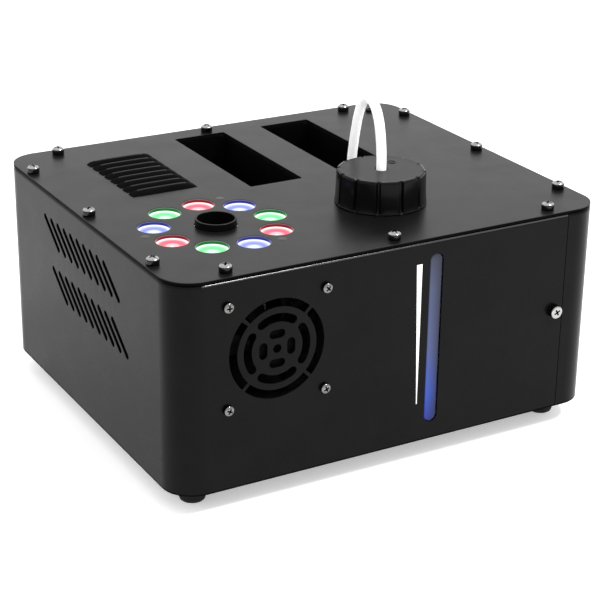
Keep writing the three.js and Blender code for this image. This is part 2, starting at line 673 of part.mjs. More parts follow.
function fuseDrawer() {
  const { x, face } = INLET;
  const { width, height, z } = DRAWER;
  const front = box(x - width / 2, x + width / 2, face + GAP, face + 2, z - height / 2, z + height / 2);
  const tray = box(x - width / 2 + 1.5, x + width / 2 - 1.5, face - 22, face + 1, z - height / 2 + 0.8, z + height / 2 - 0.8);
  return front.add(tray);
}

function xlrFlange(x) {
  const shape = roundedRect(XLR.width / 2, XLR.height / 2, 3, x, XLR.z);
  return extrudeY(shape, BACK + GAP, BACK + GAP + 1.6, 1);
}
const XLR_PINS = [60, 180, 300];

function dmxIn(x) {
  const face = BACK + GAP + 1.6;
  const barrel = extrudeY(circle(XLR.shell, x, XLR.z), BACK - 20, BACK + 1, 2);
  const well = extrudeY(circle(9.3, x, XLR.z), face - 15, face + 1, 2);
  let socket = xlrFlange(x).add(barrel).subtract(well);
  for (const angle of XLR_PINS) {
    const [px, pz] = polar(x, XLR.z, 4.2, angle + 30);
    socket = socket.add(extrudeY(circle(1.2, px, pz), face - 16, face - 3, 1));
  }
  return socket;
}

function dmxOut(x) {
  const face = BACK + GAP + 1.6;
  const barrel = extrudeY(circle(XLR.shell, x, XLR.z), BACK - 20, BACK + 1, 2);
  const groove = circle(9.6, x, XLR.z);
  groove.holes.push(circle(7.8, x, XLR.z));
  const holes = XLR_PINS.map((angle) => circle(1.4, ...polar(x, XLR.z, 4.2, angle + 30)));
  return xlrFlange(x)
    .add(barrel)
    .subtract(extrudeY(groove, face - 13, face + 1, 2))
    .subtract(extrudeY(holes, face - 11, face + 1, 1));
}

// ---------------------------------------------------------------- pieces
place("main_shell", mainShell(), POWDER_COAT);
place("side_cover", sideCover(), POWDER_COAT);
place("top_plate", topPlate(), POWDER_COAT);
place("base_plate", basePlate(), POWDER_COAT);
place("grip_pocket_left", gripPocket(GRIP.xs[0]), PLASTIC);
place("grip_pocket_right", gripPocket(GRIP.xs[1]), PLASTIC);
for (const [side, x] of [["left", -FOOT.x], ["right", FOOT.x]]) {
  place("foot_front_" + side, foot(x, -FOOT.y), RUBBER);
  place("foot_back_" + side, foot(x, FOOT.y), RUBBER);
}
TOP_SCREWS.forEach(([x, y], k) => place("top_screw_" + (k + 1), panScrew(x, y), NICKEL));
place("thumb_screw_front", thumbScrew(-1), NICKEL);
place("thumb_screw_back", thumbScrew(1), NICKEL);

place("fan_frame", fanFrame(), PLASTIC);
place("fan_rotor", fanRotor(), PLASTIC);
place("heater_block", heaterBlock(), ALUMINIUM);
place("nozzle_tube", nozzleTube(), POWDER_COAT);
place("led_board", ledBoard(), BOARD);
around(LED.count).forEach((angle, k) => place("led_lens_" + (k + 1), ledLens(angle), LIT[k % 3]));

place("fluid_tank", fluidTank(), HDPE);
place("tank_cap", tankCap(), PLASTIC);
place("cap_seal", capSeal(), RUBBER);
place("suction_hose", suctionHose(), SILICONE);
place("hose_grommet", hoseGrommet(), RUBBER);
place("pickup_tube", pickupTube(), HDPE);
const innerHosePoints = INNER_HOSE.map((p) => new THREE.Vector3(...p));
place("pump_inlet_hose", tubeAlong(innerHosePoints, HOSE.radius, 8, 12), SILICONE);
place("pump", pump(), ALUMINIUM);
const feedPoints = FEED_PIPE.map((p) => new THREE.Vector3(...p));
place("feed_pipe", tubeAlong(feedPoints, 2, 8, 22), ALUMINIUM);
place("level_window", levelWindow(), DIFFUSER);
place("level_backlight", levelBacklight(), BOARD);

place("main_board", mainBoard(), BOARD);
place("control_panel", controlPanel(), PLASTIC);
BUTTONS.forEach((x, k) => place("menu_button_" + (k + 1), menuButton(x), PLASTIC));
place("mains_inlet", mainsInlet(), PLASTIC);
place("rocker_switch", rockerSwitch(), PLASTIC);
place("fuse_drawer", fuseDrawer(), PLASTIC);
place("dmx_in", dmxIn(XLR.xs[0]), PLASTIC);
place("dmx_out", dmxOut(XLR.xs[1]), PLASTIC);

export default machine;
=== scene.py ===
import math

import bmesh
import bpy
from mathutils import Matrix, Vector
from mathutils.geometry import delaunay_2d_cdt


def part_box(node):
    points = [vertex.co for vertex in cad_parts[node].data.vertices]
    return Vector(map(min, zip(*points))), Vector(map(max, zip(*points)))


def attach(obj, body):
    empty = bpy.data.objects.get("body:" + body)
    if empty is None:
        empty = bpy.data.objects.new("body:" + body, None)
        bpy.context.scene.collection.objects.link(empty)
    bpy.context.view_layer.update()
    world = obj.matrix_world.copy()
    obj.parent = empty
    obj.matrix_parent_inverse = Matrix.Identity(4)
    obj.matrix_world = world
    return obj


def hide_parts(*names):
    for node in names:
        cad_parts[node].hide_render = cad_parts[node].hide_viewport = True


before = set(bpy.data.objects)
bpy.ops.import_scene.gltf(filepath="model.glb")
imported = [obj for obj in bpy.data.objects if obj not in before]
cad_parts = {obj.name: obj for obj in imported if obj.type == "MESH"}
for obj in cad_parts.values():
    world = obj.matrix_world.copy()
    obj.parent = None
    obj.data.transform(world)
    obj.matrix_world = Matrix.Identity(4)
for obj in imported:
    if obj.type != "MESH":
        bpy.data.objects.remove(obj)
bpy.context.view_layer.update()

MM = 0.001
TAU = 2 * math.pi


# ---------------------------------------------------------------- sizes from the frame, in millimetres
def node_box(node):
    low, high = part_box(node)
    return low / MM, high / MM


def size_on_back(node):
    """A node's width and height seen from behind, and where its outer face is."""
    low, high = node_box(node)
    return high.x - low.x, high.z - low.z, high.y


def node_middle(node):
    low, high = node_box(node)
    return (low + high) / 2


SHELL_LOW, SHELL_HIGH = node_box("main_shell")
PLATE_LOW, PLATE_HIGH = node_box("top_plate")
LEFT, RIGHT = PLATE_LOW.x, PLATE_HIGH.x
FRONT, BACK = PLATE_LOW.y, PLATE_HIGH.y
PLATE = 2  # the top plate's thickness
TOP = PLATE_LOW.z + PLATE
FLOOR_EDGE = SHELL_LOW.z
WALL_TOP = SHELL_HIGH.z
SHEET = 1.5  # the thickness of the walls
WALL_EDGE = 0.28  # how far the walls' cut edges are rounded
CORNER = 22
BEND = 2.2
HEM = 1.2  # the height of the strip along the walls' lower edge that takes painted shade, the dark of the gap under them
SHELL_FLANGE, COVER_FLANGE = 13, 0.05  # how far the walls' upper edges go in past their bend
SEAM_LEFT, SEAM_RIGHT = 136.0, 136.4
NOZZLE = node_middle("nozzle_tube")
NOZZLE_TOP = node_box("nozzle_tube")[1].z
NOZZLE_RADIUS = NOZZLE.x - node_box("nozzle_tube")[0].x
FAN = node_middle("fan_frame")
FAN_SCREWS = 71.5
# the bent slots' inner and outer radius and half their angle; the straight slots' place, length and width
GRILLE = {
    "hub": 3, "outer": (29, 34.8), "outer_half": 42.8, "middle": (18.6, 24.4), "middle_half": 32.3,
    "straight_at": 10.2, "straight": (11.5, 5.9),
}
FAN_BORE, FAN_FLANGE, FAN_HUB, FAN_TIP, BLADES = 38, 3.6, 15.5, 36.1, 7
CAP = node_middle("tank_cap")
CAP_LOW, CAP_HIGH = node_box("tank_cap")
CAP_BASE, CAP_RIM, CAP_INSIDE = 33.1, 31.4, 28.2
CAP_VENT = (14.5, 9.5, 0)
NECK_RADIUS, NECK_BORE, NECK_HOLE = 25.5, 22, 27.3
TANK_SHOULDER = 150
GROMMET = node_middle("hose_grommet")
GROMMET_HOLE = 5.8
WINDOW = node_middle("level_window")
WINDOW_WIDTH = 10.4
WINDOW_LOW, WINDOW_HIGH = node_box("level_window")[0].z + 3, node_box("level_window")[1].z - 3
LENSES = [node_middle(f"led_lens_{k + 1}") for k in range(9)]
LENS_TOP = node_box("led_lens_1")[1].z
LED_HOLE = 11.5
GRIPS = [node_middle("grip_pocket_left"), node_middle("grip_pocket_right")]
GRIP_SIZE = (42, 125)
GRIP_FLOOR = node_box("grip_pocket_left")[0].z
TOP_SCREWS = [node_middle(f"top_screw_{k + 1}") for k in range(12)]
THUMB = node_middle("thumb_screw_front")
SPARE_STUD = (138, 123)
STUD_RING, STUD_ANGLES = 52, (60, 180, 300)
LOUVRE = {"count": 8, "x0": -119, "x1": -68.5, "y": 18.2, "pitch": 10.56, "depth": 8, "rise": 2.6}
SLOTS = {"count": 10, "pitch": 11.48, "length": 33.4, "width": 4.1, "angle": 38.1}
SLOT_ROWS = [(55, 134.2), (43.3, 98.1)]
PANEL = node_middle("control_panel")
INLET = node_middle("mains_inlet")
SOCKETS = [node_middle("dmx_in"), node_middle("dmx_out")]
PANEL_CUTOUT, INLET_CUTOUT, SOCKET_HOLE = (96, 46), (46.6, 62.6), 11.8
SOCKET_WELL, SOCKET_CORE, PIN_RING = 9.4, 7.8, 4.2


def added(name, data):
    made = bpy.data.objects.new(name, data)
    bpy.context.scene.collection.objects.link(made)
    return made


# ---------------------------------------------------------------- camera
CAMERA_PLACE = (-0.5908, -1.0450, 0.5735)


def make_camera():
    azimuth, elevation, roll = math.radians(-29.72), math.radians(22.72), math.radians(0.78)
    data = bpy.data.cameras.new("camera")
    data.sensor_width = 36
    data.lens = 105.42
    data.clip_start, data.clip_end = 0.05, 60
    camera = added("camera", data)
    level = math.cos(elevation)
    back = Vector((math.sin(azimuth) * level, -math.cos(azimuth) * level, math.sin(elevation)))
    turn = (-back).to_track_quat("-Z", "Y").to_matrix() @ Matrix.Rotation(roll, 3, "Z")
    camera.matrix_world = Matrix.Translation(CAMERA_PLACE) @ turn.to_4x4()
    bpy.context.scene.camera = camera


# ---------------------------------------------------------------- materials
def times(colour, factor):
    return tuple(factor * c for c in colour)


def new_material(name, **values):
    """A material, its tree and its shader. In these helpers an input's name has underscores for spaces."""
    material = bpy.data.materials.new(name)
    material.use_nodes = True
    shader = material.node_tree.nodes["Principled BSDF"]
    for key, value in values.items():
        shader.inputs[key.replace("_", " ")].default_value = value
    return material, material.node_tree, shader


def node(tree, kind, **values):
    """A new node; each value goes to the input of that name, or else to the attribute."""
    made = tree.nodes.new(kind)
    for key, value in values.items():
        if key.replace("_", " ") in made.inputs:
            made.inputs[key.replace("_", " ")].default_value = value
        else:
            setattr(made, key, value)
    return made


def feed(tree, taker, **outputs):
    """Links each output to the taker's input of that name."""
    for key, output in outputs.items():
        tree.links.new(output, taker.inputs[key.replace("_", " ")])


def object_point(tree):
    return tree.nodes.new("ShaderNodeTexCoord").outputs["Object"]


def noise(tree, scale, detail=2.0, roughness=0.5, point=None):
    made = node(tree, "ShaderNodeTexNoise", Scale=scale, Detail=detail, Roughness=roughness)
    feed(tree, made, Vector=point or object_point(tree))
    return made.outputs["Fac"]


def ramp(tree, value, stops):
    """A colour ramp; stops are (position, grey or colour)."""
    made = tree.nodes.new("ShaderNodeValToRGB")
    elements = made.color_ramp.elements
    while len(elements) < len(stops):
        elements.new(0.5)
    for element, (position, colour) in zip(elements, stops):
        element.position = position
        rgb = colour if isinstance(colour, tuple) else (colour,) * 3
        element.color = (*rgb, 1)
    feed(tree, made, Fac=value)
    return made.outputs["Color"]


def bump(tree, shader, height, distance, strength=1.0):
    made = node(tree, "ShaderNodeBump", Strength=strength, Distance=distance)
    feed(tree, made, Height=height)
    feed(tree, shader, Normal=made.outputs["Normal"])


def mixed(tree, blend, first, second):
    mix = node(tree, "ShaderNodeMix", data_type="RGBA", blend_type=blend, Factor=1.0)
    feed(tree, mix, A=first, B=second)
    return mix.outputs["Result"]


def place_along(tree, axis, low, high):
    """How far a point is from low to high along an axis of its object, from 0 to 1."""
    parts = node(tree, "ShaderNodeSeparateXYZ")
    feed(tree, parts, Vector=object_point(tree))
    made = node(tree, "ShaderNodeMapRange", From_Min=low * MM, From_Max=high * MM)
    feed(tree, made, Value=parts.outputs[axis])
    return made.outputs["Result"]


def powder_coat(name, low, high, rough=(0.33, 0.45), grain=1400, depth=0.00005, specular=0.3):
    """Satin black powder coat: fine orange peel, cloudy gloss and a faint dust of lighter specks."""
    material, tree, shader = new_material(name, Specular_IOR_Level=specular)
    cloud = noise(tree, 38, 5, 0.6)
    base = ramp(tree, cloud, [(0.3, low), (0.7, high)])
    dust = ramp(tree, noise(tree, 2600, 2, 0.7), [(0.62, 0.0), (0.8, 0.008)])
    gloss = ramp(tree, cloud, [(0.25, rough[0]), (0.75, rough[1])])
    feed(tree, shader, Base_Color=mixed(tree, "ADD", base, dust), Roughness=gloss)
    bump(tree, shader, noise(tree, grain, 3, 0.55), depth, 0.5)
    return material


def moulded(name, colour, rough=(0.35, 0.5), grain=1800, depth=0.00004, specular=0.4):
    """Moulded plastic or rubber with a fine spark-eroded grain and cloudy gloss."""
    material, tree, shader = new_material(name, Specular_IOR_Level=specular)
    cloud = noise(tree, 70, 4, 0.6)
    lighter = tuple(min(1, 1.25 * c) for c in colour)
    tint = ramp(tree, cloud, [(0.3, times(colour, 0.8)), (0.7, lighter)])
    feed(tree, shader, Base_Color=tint, Roughness=ramp(tree, cloud, [(0.2, rough[0]), (0.8, rough[1])]))
    bump(tree, shader, noise(tree, grain, 3, 0.6), depth, 0.6)
    return material


def metal(name, colour, rough=(0.16, 0.3), stretch=(1, 1, 1), grain=900, depth=0.00002):
    material, tree, shader = new_material(name, Metallic=1.0)
    mapping = node(tree, "ShaderNodeMapping", Scale=stretch)
    feed(tree, mapping, Vector=object_point(tree))
    streaks = noise(tree, grain, 4, 0.6, mapping.outputs["Vector"])
    tint = ramp(tree, streaks, [(0.3, times(colour, 0.72)), (0.65, colour)])
    feed(tree, shader, Base_Color=tint, Roughness=ramp(tree, streaks, [(0.3, rough[1]), (0.7, rough[0])]))
    bump(tree, shader, streaks, depth, 0.5)
    return material


def hose_material():
    """Soft translucent tube, slightly milky, with faint extrusion streaks. It glows faintly: painted light
    that keeps it pale all round.
    """
    material, tree, shader = new_material(
        "hose_silicone", Subsurface_Weight=0.5, Subsurface_Radius=(0.003, 0.003, 0.003),
        Transmission_Weight=0.1, IOR=1.41, Emission_Strength=0.22,
    )
    streaks = noise(tree, 260, 3, 0.5)
    tint = ramp(tree, streaks, [(0.3, (0.93, 0.94, 0.94)), (0.7, (0.97, 0.97, 0.96))])
    glow = ramp(tree, streaks, [(0.3, (0.93, 0.94, 0.94)), (0.7, (1.0, 1.0, 0.99))])
    gloss = ramp(tree, streaks, [(0.3, 0.3), (0.7, 0.42)])
    feed(tree, shader, Base_Color=tint, Roughness=gloss, Emission_Color=glow)
    bump(tree, shader, noise(tree, 500, 2, 0.5), 0.00005, 0.3)
    return material


# One black powder coat in two copies: the walls' copy is darker and duller than the top plate's, painted
# shade for the walls and painted light for the top.
COAT = powder_coat("powder_coat", 0.0016, 0.0028, rough=(0.24, 0.32), specular=0.075)
COAT_TOP = powder_coat(
    "powder_coat_top", 0.004, 0.006, rough=(0.26, 0.36), grain=1100, depth=0.00006, specular=0.16
)
# A lighter, glossier copy of the coat, only for the fold along the front wall's top: a painted sheen for its
# highlight line.
COAT_BEND_SHEEN = powder_coat("powder_coat_bend_sheen", 0.003, 0.005, rough=(0.14, 0.2), specular=0.8)
SHADED_EDGE = powder_coat("shaded_edge", 0.0012, 0.0025, rough=(0.4, 0.5), specular=0.01)
CAP_PLASTIC = moulded(
    "cap_plastic", (0.002, 0.002, 0.0024), rough=(0.16, 0.24), grain=900, depth=0.00001, specular=0.1
)
BLACK = moulded("black_plastic", (0.004, 0.004, 0.0045), specular=0.2)
# Near-black matte put in recesses and behind openings: painted shade.
PAINTED_SHADE = moulded("painted_shade_black", (0.0012, 0.0012, 0.0012), rough=(0.5, 0.7), specular=0.03)
RUBBER = moulded("rubber", (0.006, 0.006, 0.006), rough=(0.6, 0.8), grain=1300, depth=0.0001, specular=0.2)
NICKEL = metal("nickel", (0.42, 0.42, 0.41), rough=(0.07, 0.14), grain=700)
SHADED_NICKEL = metal("shaded_nickel", (0.035, 0.035, 0.035), rough=(0.1, 0.2), grain=1600, depth=0.00006)
ALUMINIUM = metal("aluminium", (0.6, 0.61, 0.62), rough=(0.3, 0.45), stretch=(1, 1, 6), grain=400)
BRASS = metal("brass", (0.75, 0.62, 0.36), rough=(0.18, 0.3))
SILICONE = hose_material()
DARK_NICKEL = metal("dark_nickel", (0.2, 0.2, 0.195), rough=(0.12, 0.2), grain=900)
TANK = moulded("tank_plastic", (0.72, 0.74, 0.72), rough=(0.35, 0.5), grain=500)
STUD = powder_coat("stud_coat", 0.01, 0.016, rough=(0.22, 0.3), specular=0.25)
PRINT = moulded("white_print", (0.8, 0.8, 0.79), rough=(0.45, 0.6), grain=2500, depth=0.00001)
DISPLAY = moulded(
    "display_glass", (0.004, 0.006, 0.012), rough=(0.04, 0.08), grain=300, depth=0.000005, specular=0.6
)


def digit_material():
    material, tree, shader = new_material(
        "display_digits", Base_Color=(0.02, 0.02, 0.02, 1), Roughness=0.4, Emission_Strength=1.5
    )
    glow = ramp(tree, noise(tree, 900, 2), [(0.3, (0.7, 0.12, 0.08)), (0.7, (1.0, 0.2, 0.12))])
    feed(tree, shader, Emission_Color=glow)
    return material


def board_material():
    """Green solder resist with a faint pattern of tracks and pads."""
    material, tree, shader = new_material("circuit_board", Roughness=0.35)
    cells = node(tree, "ShaderNodeTexVoronoi", Scale=420.0, distance="CHEBYCHEV")
    feed(tree, cells, Vector=object_point(tree))
    tracks = cells.outputs["Distance"]
    green = ramp(tree, tracks, [(0.2, (0.02, 0.12, 0.05)), (0.5, (0.008, 0.05, 0.022))])
    feed(tree, shader, Base_Color=green)
    bump(tree, shader, tracks, 0.0001, 0.4)
    return material


DIGITS = digit_material()
BOARD = board_material()


# ---------------------------------------------------------------- mesh helpers
def finished(bm, name, materials, sharp=32):
    """The bmesh as a mesh in metres, faces out, smooth except over edges sharper than an angle."""
    bmesh.ops.remove_doubles(bm, verts=bm.verts, dist=1e-4)
    bmesh.ops.recalc_face_normals(bm, faces=bm.faces)
    limit = math.radians(sharp)
    for face in bm.faces:
        face.smooth = True
    for edge in bm.edges:
        edge.smooth = len(edge.link_faces) == 2 and edge.calc_face_angle(0) < limit
    bmesh.ops.scale(bm, vec=(MM, MM, MM), verts=bm.verts)
    mesh = bpy.data.meshes.new(name)
    bm.to_mesh(mesh)
    bm.free()
    for material in materials if isinstance(materials, (list, tuple)) else [materials]:
        mesh.materials.append(material)
    return mesh


def piece(name, mesh, replaced=(), body="housing"):
    """An object that rides on a body and stands for the CAD nodes named in replaced."""
    made = added(name, mesh)
    if isinstance(mesh, bpy.types.Mesh):
        made.modifiers.new("even_normals", "WEIGHTED_NORMAL").keep_sharp = True
    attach(made, body)
    if replaced:
        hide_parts(*replaced)
    return made


def build(name, bm, materials, replaced=(), body="housing", sharp=32):
    return piece(name, finished(bm, name, materials, sharp), replaced, body)


def moved(bm, matrix):
    bmesh.ops.transform(bm, matrix=matrix, verts=bm.verts)
    return bm


def joined(*parts):
    """Several bmeshes as one; each may be a pair of a bmesh and the material index of its faces."""
    whole = bmesh.new()
    for part in parts:
        bm, index = part if isinstance(part, tuple) else (part, None)
        if index is not None:
            for face in bm.faces:
                face.material_index = index
        scratch = bpy.data.meshes.new("scratch")
        bm.to_mesh(scratch)
        bm.free()
        whole.from_mesh(scratch)
        bpy.data.meshes.remove(scratch)
    return whole


def carved(mesh, *cutters):
    """A mesh with closed cutters taken out of it, worked in millimetres, where the cut is reliable."""
    mesh.transform(Matrix.Scale(1 / MM, 4))
    target = added("target", mesh)
    tools = []
    for bm in cutters:
        bmesh.ops.recalc_face_normals(bm, faces=bm.faces)
        tool_mesh = bpy.data.meshes.new("cutter")
        bm.to_mesh(tool_mesh)
        bm.free()
        tool = added("cutter", tool_mesh)
        change = target.modifiers.new("cut", "BOOLEAN")
        change.operation, change.solver, change.object = "DIFFERENCE", "EXACT", tool
        tools.append(tool)
    view = bpy.context.evaluated_depsgraph_get()
    result = bpy.data.meshes.new_from_object(target.evaluated_get(view))
    result.transform(Matrix.Scale(MM, 4))
    for used in [target, *tools]:
        bpy.data.objects.remove(used)
    return result


def band(bm, one, two):
    """Faces between two closed rings of as many vertices."""
    for k in range(len(one)):
        j = (k + 1) % len(one)
        bm.faces.new((one[k], one[j], two[j], two[k]))


# Outlines: closed loops of (u, v) pairs, anticlockwise.
def arc(cx, cy, radius, start, end, steps):
    """Points on an arc, in degrees, both ends included."""
    angles = [math.radians(start + (end - start) * k / steps) for k in range(steps + 1)]
    return [(cx + radius * math.cos(a), cy + radius * math.sin(a)) for a in angles]


def circle(cx, cy, radius, steps=32):
    return arc(cx, cy, radius, 0, 360, steps)[:-1]


def rounded_rect(cx, cy, width, height, radius, steps=8):
    x, y = width / 2 - radius, height / 2 - radius
    corners = [(x, y, 0), (-x, y, 90), (-x, -y, 180), (x, -y, 270)]
    return [p for dx, dy, a in corners for p in arc(cx + dx, cy + dy, radius, a, a + 90, steps)]


def obround(cx, cy, length, width, angle, steps=8):
    a, half = math.radians(angle), (length - width) / 2
    ux, uy = half * math.cos(a), half * math.sin(a)
    one = arc(cx + ux, cy + uy, width / 2, angle - 90, angle + 90, steps)
    return one + arc(cx - ux, cy - uy, width / 2, angle + 90, angle + 270, steps)


def bent_slot(cx, cy, inner, outer, middle, half, steps=16):
    """A slot bent round a centre, its ends rounded."""
    r, end = (inner + outer) / 2, (outer - inner) / 2
    a, b = math.radians(middle + half), math.radians(middle - half)
    loop = arc(cx, cy, outer, middle - half, middle + half, steps)
    loop += arc(cx + r * math.cos(a), cy + r * math.sin(a), end, middle + half, middle + half + 180, 6)[1:-1]
    loop += arc(cx, cy, inner, middle + half, middle - half, steps)
    loop += arc(cx + r * math.cos(b), cy + r * math.sin(b), end, middle - half - 180, middle - half, 6)[1:-1]
    return loop


def arc_slot(cx, cy, inner, outer, middle, half, steps=16):
    """A slot bent round (cx, cy) with square ends."""
    out = arc(cx, cy, outer, middle - half, middle + half, steps)
    return out + arc(cx, cy, inner, middle + half, middle - half, steps)


def area(loop):
    return sum(a[0] * b[1] - b[0] * a[1] for a, b in zip(loop, loop[1:] + loop[:1])) / 2


def contains(loop, x, y):
    hit = False
    for (ax, ay), (bx, by) in zip(loop, loop[1:] + loop[:1]):
        if (ay > y) != (by > y) and x < (bx - ax) * (y - ay) / (by - ay) + ax:
            hit = not hit
    return hit


def shifted(loop, distance):
    """The loop moved to its left by a distance, mitred at its corners."""
    result = []
    for before, here, after in zip(loop[-1:] + loop[:-1], loop, loop[1:] + loop[:1]):
        a = Vector((here[0] - before[0], here[1] - before[1])).normalized()
        b = Vector((after[0] - here[0], after[1] - here[1])).normalized()
        na, nb = Vector((-a.y, a.x)), Vector((-b.y, b.x))
        mitre = (na + nb) / max(0.4, 1 + na.dot(nb))
        result.append((here[0] + mitre.x * distance, here[1] + mitre.y * distance))
    return result


def triangles(loops):
    """Triangles over the area between an outline, first, and its holes."""
    points = [Vector(p) for loop in loops for p in loop]
    edges, start = [], 0
    for loop in loops:
        edges += [(start + i, start + (i + 1) % len(loop)) for i in range(len(loop))]
        start += len(loop)
    verts, _, faces, origin, _, _ = delaunay_2d_cdt(points, edges, [], 1, 1e-6)
    kept = []
    for face in faces:
        cx = sum(verts[i].x for i in face) / len(face)
        cy = sum(verts[i].y for i in face) / len(face)
        if contains(loops[0], cx, cy) and not any(contains(hole, cx, cy) for hole in loops[1:]):
            kept.append([origin[i][0] for i in face])
    return kept


def sheet(loops, thickness, edge=0.3, steps=2, back_edge=None):
    """A flat sheet over an outline with holes: its face at w = 0, its back at w = -thickness, its edges
    rounded over. The bmesh's axes are u, v and w."""
    loops = [loop if (area(loop) > 0) == (k == 0) else loop[::-1] for k, loop in enumerate(loops)]
    rear = 1 if back_edge is None else back_edge / edge
    turns = [math.pi / 2 * k / steps for k in range(steps + 1)]
    rings = [(edge * (1 - math.sin(a)), -edge * (1 - math.cos(a))) for a in turns]
    rings += [(inset * rear, -thickness - depth * rear) for inset, depth in reversed(rings)]
    bm = bmesh.new()
    made = []
    for inset, depth in rings:
        made.append([[bm.verts.new((u, v, depth)) for u, v in shifted(loop, inset)] for loop in loops])
    for upper, lower in zip(made, made[1:]):
        for high, low in zip(upper, lower):
            band(bm, high, low)
    for ring, inset in ((made[0], rings[0][0]), (made[-1], rings[-1][0])):
        flat = [v for loop in ring for v in loop]
        for face in triangles([shifted(loop, inset) for loop in loops]):
            bm.faces.new([flat[i] for i in face])
    return bm


def sliced(bm, axis, values):
    """The bmesh with an edge line across it at each value along an axis."""
    normal = Vector([1.0 if k == axis else 0.0 for k in range(3)])
    for value in values:
        geometry = bm.verts[:] + bm.edges[:] + bm.faces[:]
        bmesh.ops.bisect_plane(bm, geom=geometry, dist=1e-5, plane_co=normal * value, plane_no=normal)
    return bm


def softened(profile, radius, steps=3, closed=False):
    """The polyline with its corners rounded."""
    count = len(profile)
    result = []
    for k, point in enumerate(profile):
        if not closed and k in (0, count - 1):
            result.append(point)
            continue
        here = Vector(point)
        before, after = Vector(profile[k - 1]), Vector(profile[(k + 1) % count])
        to_before, to_after = before - here, after - here
        if to_before.angle(to_after, math.pi) > math.radians(172):
            result.append(point)
            continue
        a = here + to_before.normalized() * min(radius, to_before.length * 0.45)
        b = here + to_after.normalized() * min(radius, to_after.length * 0.45)
        for i in range(steps + 1):
            t = i / steps
            q = a * (1 - t) ** 2 + here * 2 * t * (1 - t) + b * t**2
            result.append((q.x, q.y))
    return result


def revolved(profile, segments=48, shape=None):
    """A solid of revolution about Z from (radius, height) pairs, open only if its ends are off the axis.
    shape(angle, radius, height) may change the radius."""
    bm = bmesh.new()
    rings = []
    for radius, height in profile:
        if radius < 1e-6:
            rings.append([bm.verts.new((0, 0, height))])
            continue
        ring = []
        for k in range(segments):
            a = TAU * k / segments
            r = shape(a, radius, height) if shape else radius
            ring.append(bm.verts.new((r * math.cos(a), r * math.sin(a), height)))
        rings.append(ring)
    for one, two in zip(rings, rings[1:]):
        if len(one) == len(two) == segments:
            band(bm, one, two)
        elif len(one) != len(two):
            tip, ring = (one, two) if len(one) == 1 else (two, one)
            for k in range(segments):
                bm.faces.new((ring[k], ring[(k + 1) % segments], tip[0]))
    return bm


def ring_solid(profile, segments=48, shape=None):
    """A closed ring: the profile goes round and meets itself."""
    return revolved(profile + profile[:1], segments, shape)


def block(x0, x1, y0, y1, z0, z1, edge=0.4):
    """A box with rounded edges."""
    loop = rounded_rect((x0 + x1) / 2, (y0 + y1) / 2, x1 - x0, y1 - y0, max(edge, 0.05), 3)
    return moved(sheet([loop], z1 - z0, edge * 0.9), upright(z=z1))


def slab(point, rows, columns):
    """A closed skin from a grid: point(i, j, 0) on its face and point(i, j, 1) on its back."""
    bm = bmesh.new()
    face, back = (
        [[bm.verts.new(point(i, j, k)) for j in range(columns + 1)] for i in range(rows + 1)] for k in (0, 1)
    )
    for grid in (face, back):
        for i in range(rows):
            for j in range(columns):
                bm.faces.new((grid[i][j], grid[i + 1][j], grid[i + 1][j + 1], grid[i][j + 1]))
    rim = [(i, 0) for i in range(rows)] + [(rows, j) for j in range(columns)]
    rim += [(i, columns) for i in range(rows, 0, -1)] + [(0, j) for j in range(columns, 0, -1)]
    for (a, b), (c, d) in zip(rim, rim[1:] + rim[:1]):
        bm.faces.new((face[a][b], face[c][d], back[c][d], back[a][b]))
    return bm


def upright(x=0, y=0, z=0):
    return Matrix.Translation((x, y, z))


def turned(degrees):
    return Matrix.Rotation(math.radians(degrees), 4, "Z")


# u to the right, v up and w out of the face that it stands on
def on_front(x=0, y=0, z=0):
    return upright(x, y, z) @ Matrix.Rotation(math.pi / 2, 4, "X")


def on_back(x=0, y=0, z=0):
    return upright(x, y, z) @ turned(180) @ Matrix.Rotation(math.pi / 2, 4, "X")


# ---------------------------------------------------------------- the suction hose
HOSE_DIAMETER = 0.007
# the distance towards the grommet and the height over the top plate
HOSE_ARCH = [
    (0, -4), (0, 12), (0, 23.5), (0.5, 33.5), (1.9, 41.5), (4.1, 49.4), (7.4, 56.6), (12.2, 62.4), (18.6, 66),
    (25.6, 66.9), (32.4, 64.9), (39.3, 59.4), (45.1, 50), (49.7, 38.4), (53.6, 25.4), (56.3, 13), (57.5, 1),
    (57.5, -12),
]


def smooth_line(points, steps):
    """A centripetal Catmull-Rom line through the points."""
    ends = [points[0] * 2 - points[1], *points, points[-1] * 2 - points[-2]]
    line = []
    for p0, p1, p2, p3 in zip(ends, ends[1:], ends[2:], ends[3:]):
        d0, d1, d2 = (math.sqrt((b - a).length) for a, b in ((p0, p1), (p1, p2), (p2, p3)))
        t1 = ((p1 - p0) / d0 - (p2 - p0) / (d0 + d1) + (p2 - p1) / d1) * d1
        t2 = ((p2 - p1) / d1 - (p3 - p1) / (d1 + d2) + (p3 - p2) / d2) * d1
        for k in range(steps):
            t = k / steps
            cubic = (2 * p1 - 2 * p2 + t1 + t2) * t**3 + (3 * p2 - 3 * p1 - 2 * t1 - t2) * t**2
            line.append(cubic + t1 * t + p1)
    return line + [points[-1]]


def suction_hose():
    start, end = Vector((CAP.x, CAP.y)), Vector((GROMMET.x, GROMMET.y))
    along = (end - start).normalized()
    points = [Vector((*(start + along * s), TOP + h)) * MM for s, h in HOSE_ARCH]
    line = smooth_line(points, 6)
    data = bpy.data.curves.new("suction_hose", "CURVE")
    data.dimensions = "3D"
    data.bevel_depth = HOSE_DIAMETER / 2
    data.bevel_resolution = 5
    spline = data.splines.new("POLY")
    spline.points.add(len(line) - 1)
    for point, place in zip(spline.points, line):
        point.co = (*place, 1)
    data.materials.append(SILICONE)
    hose = piece("suction_hose_tube", data, ["suction_hose"])


make_camera()
suction_hose()


# ---------------------------------------------------------------- housing
STRAIGHT = SEAM_LEFT - (LEFT + CORNER)
SIDE = BACK - FRONT - 2 * CORNER
QUARTER = CORNER * math.pi / 2
SHORT = RIGHT - CORNER - SEAM_RIGHT
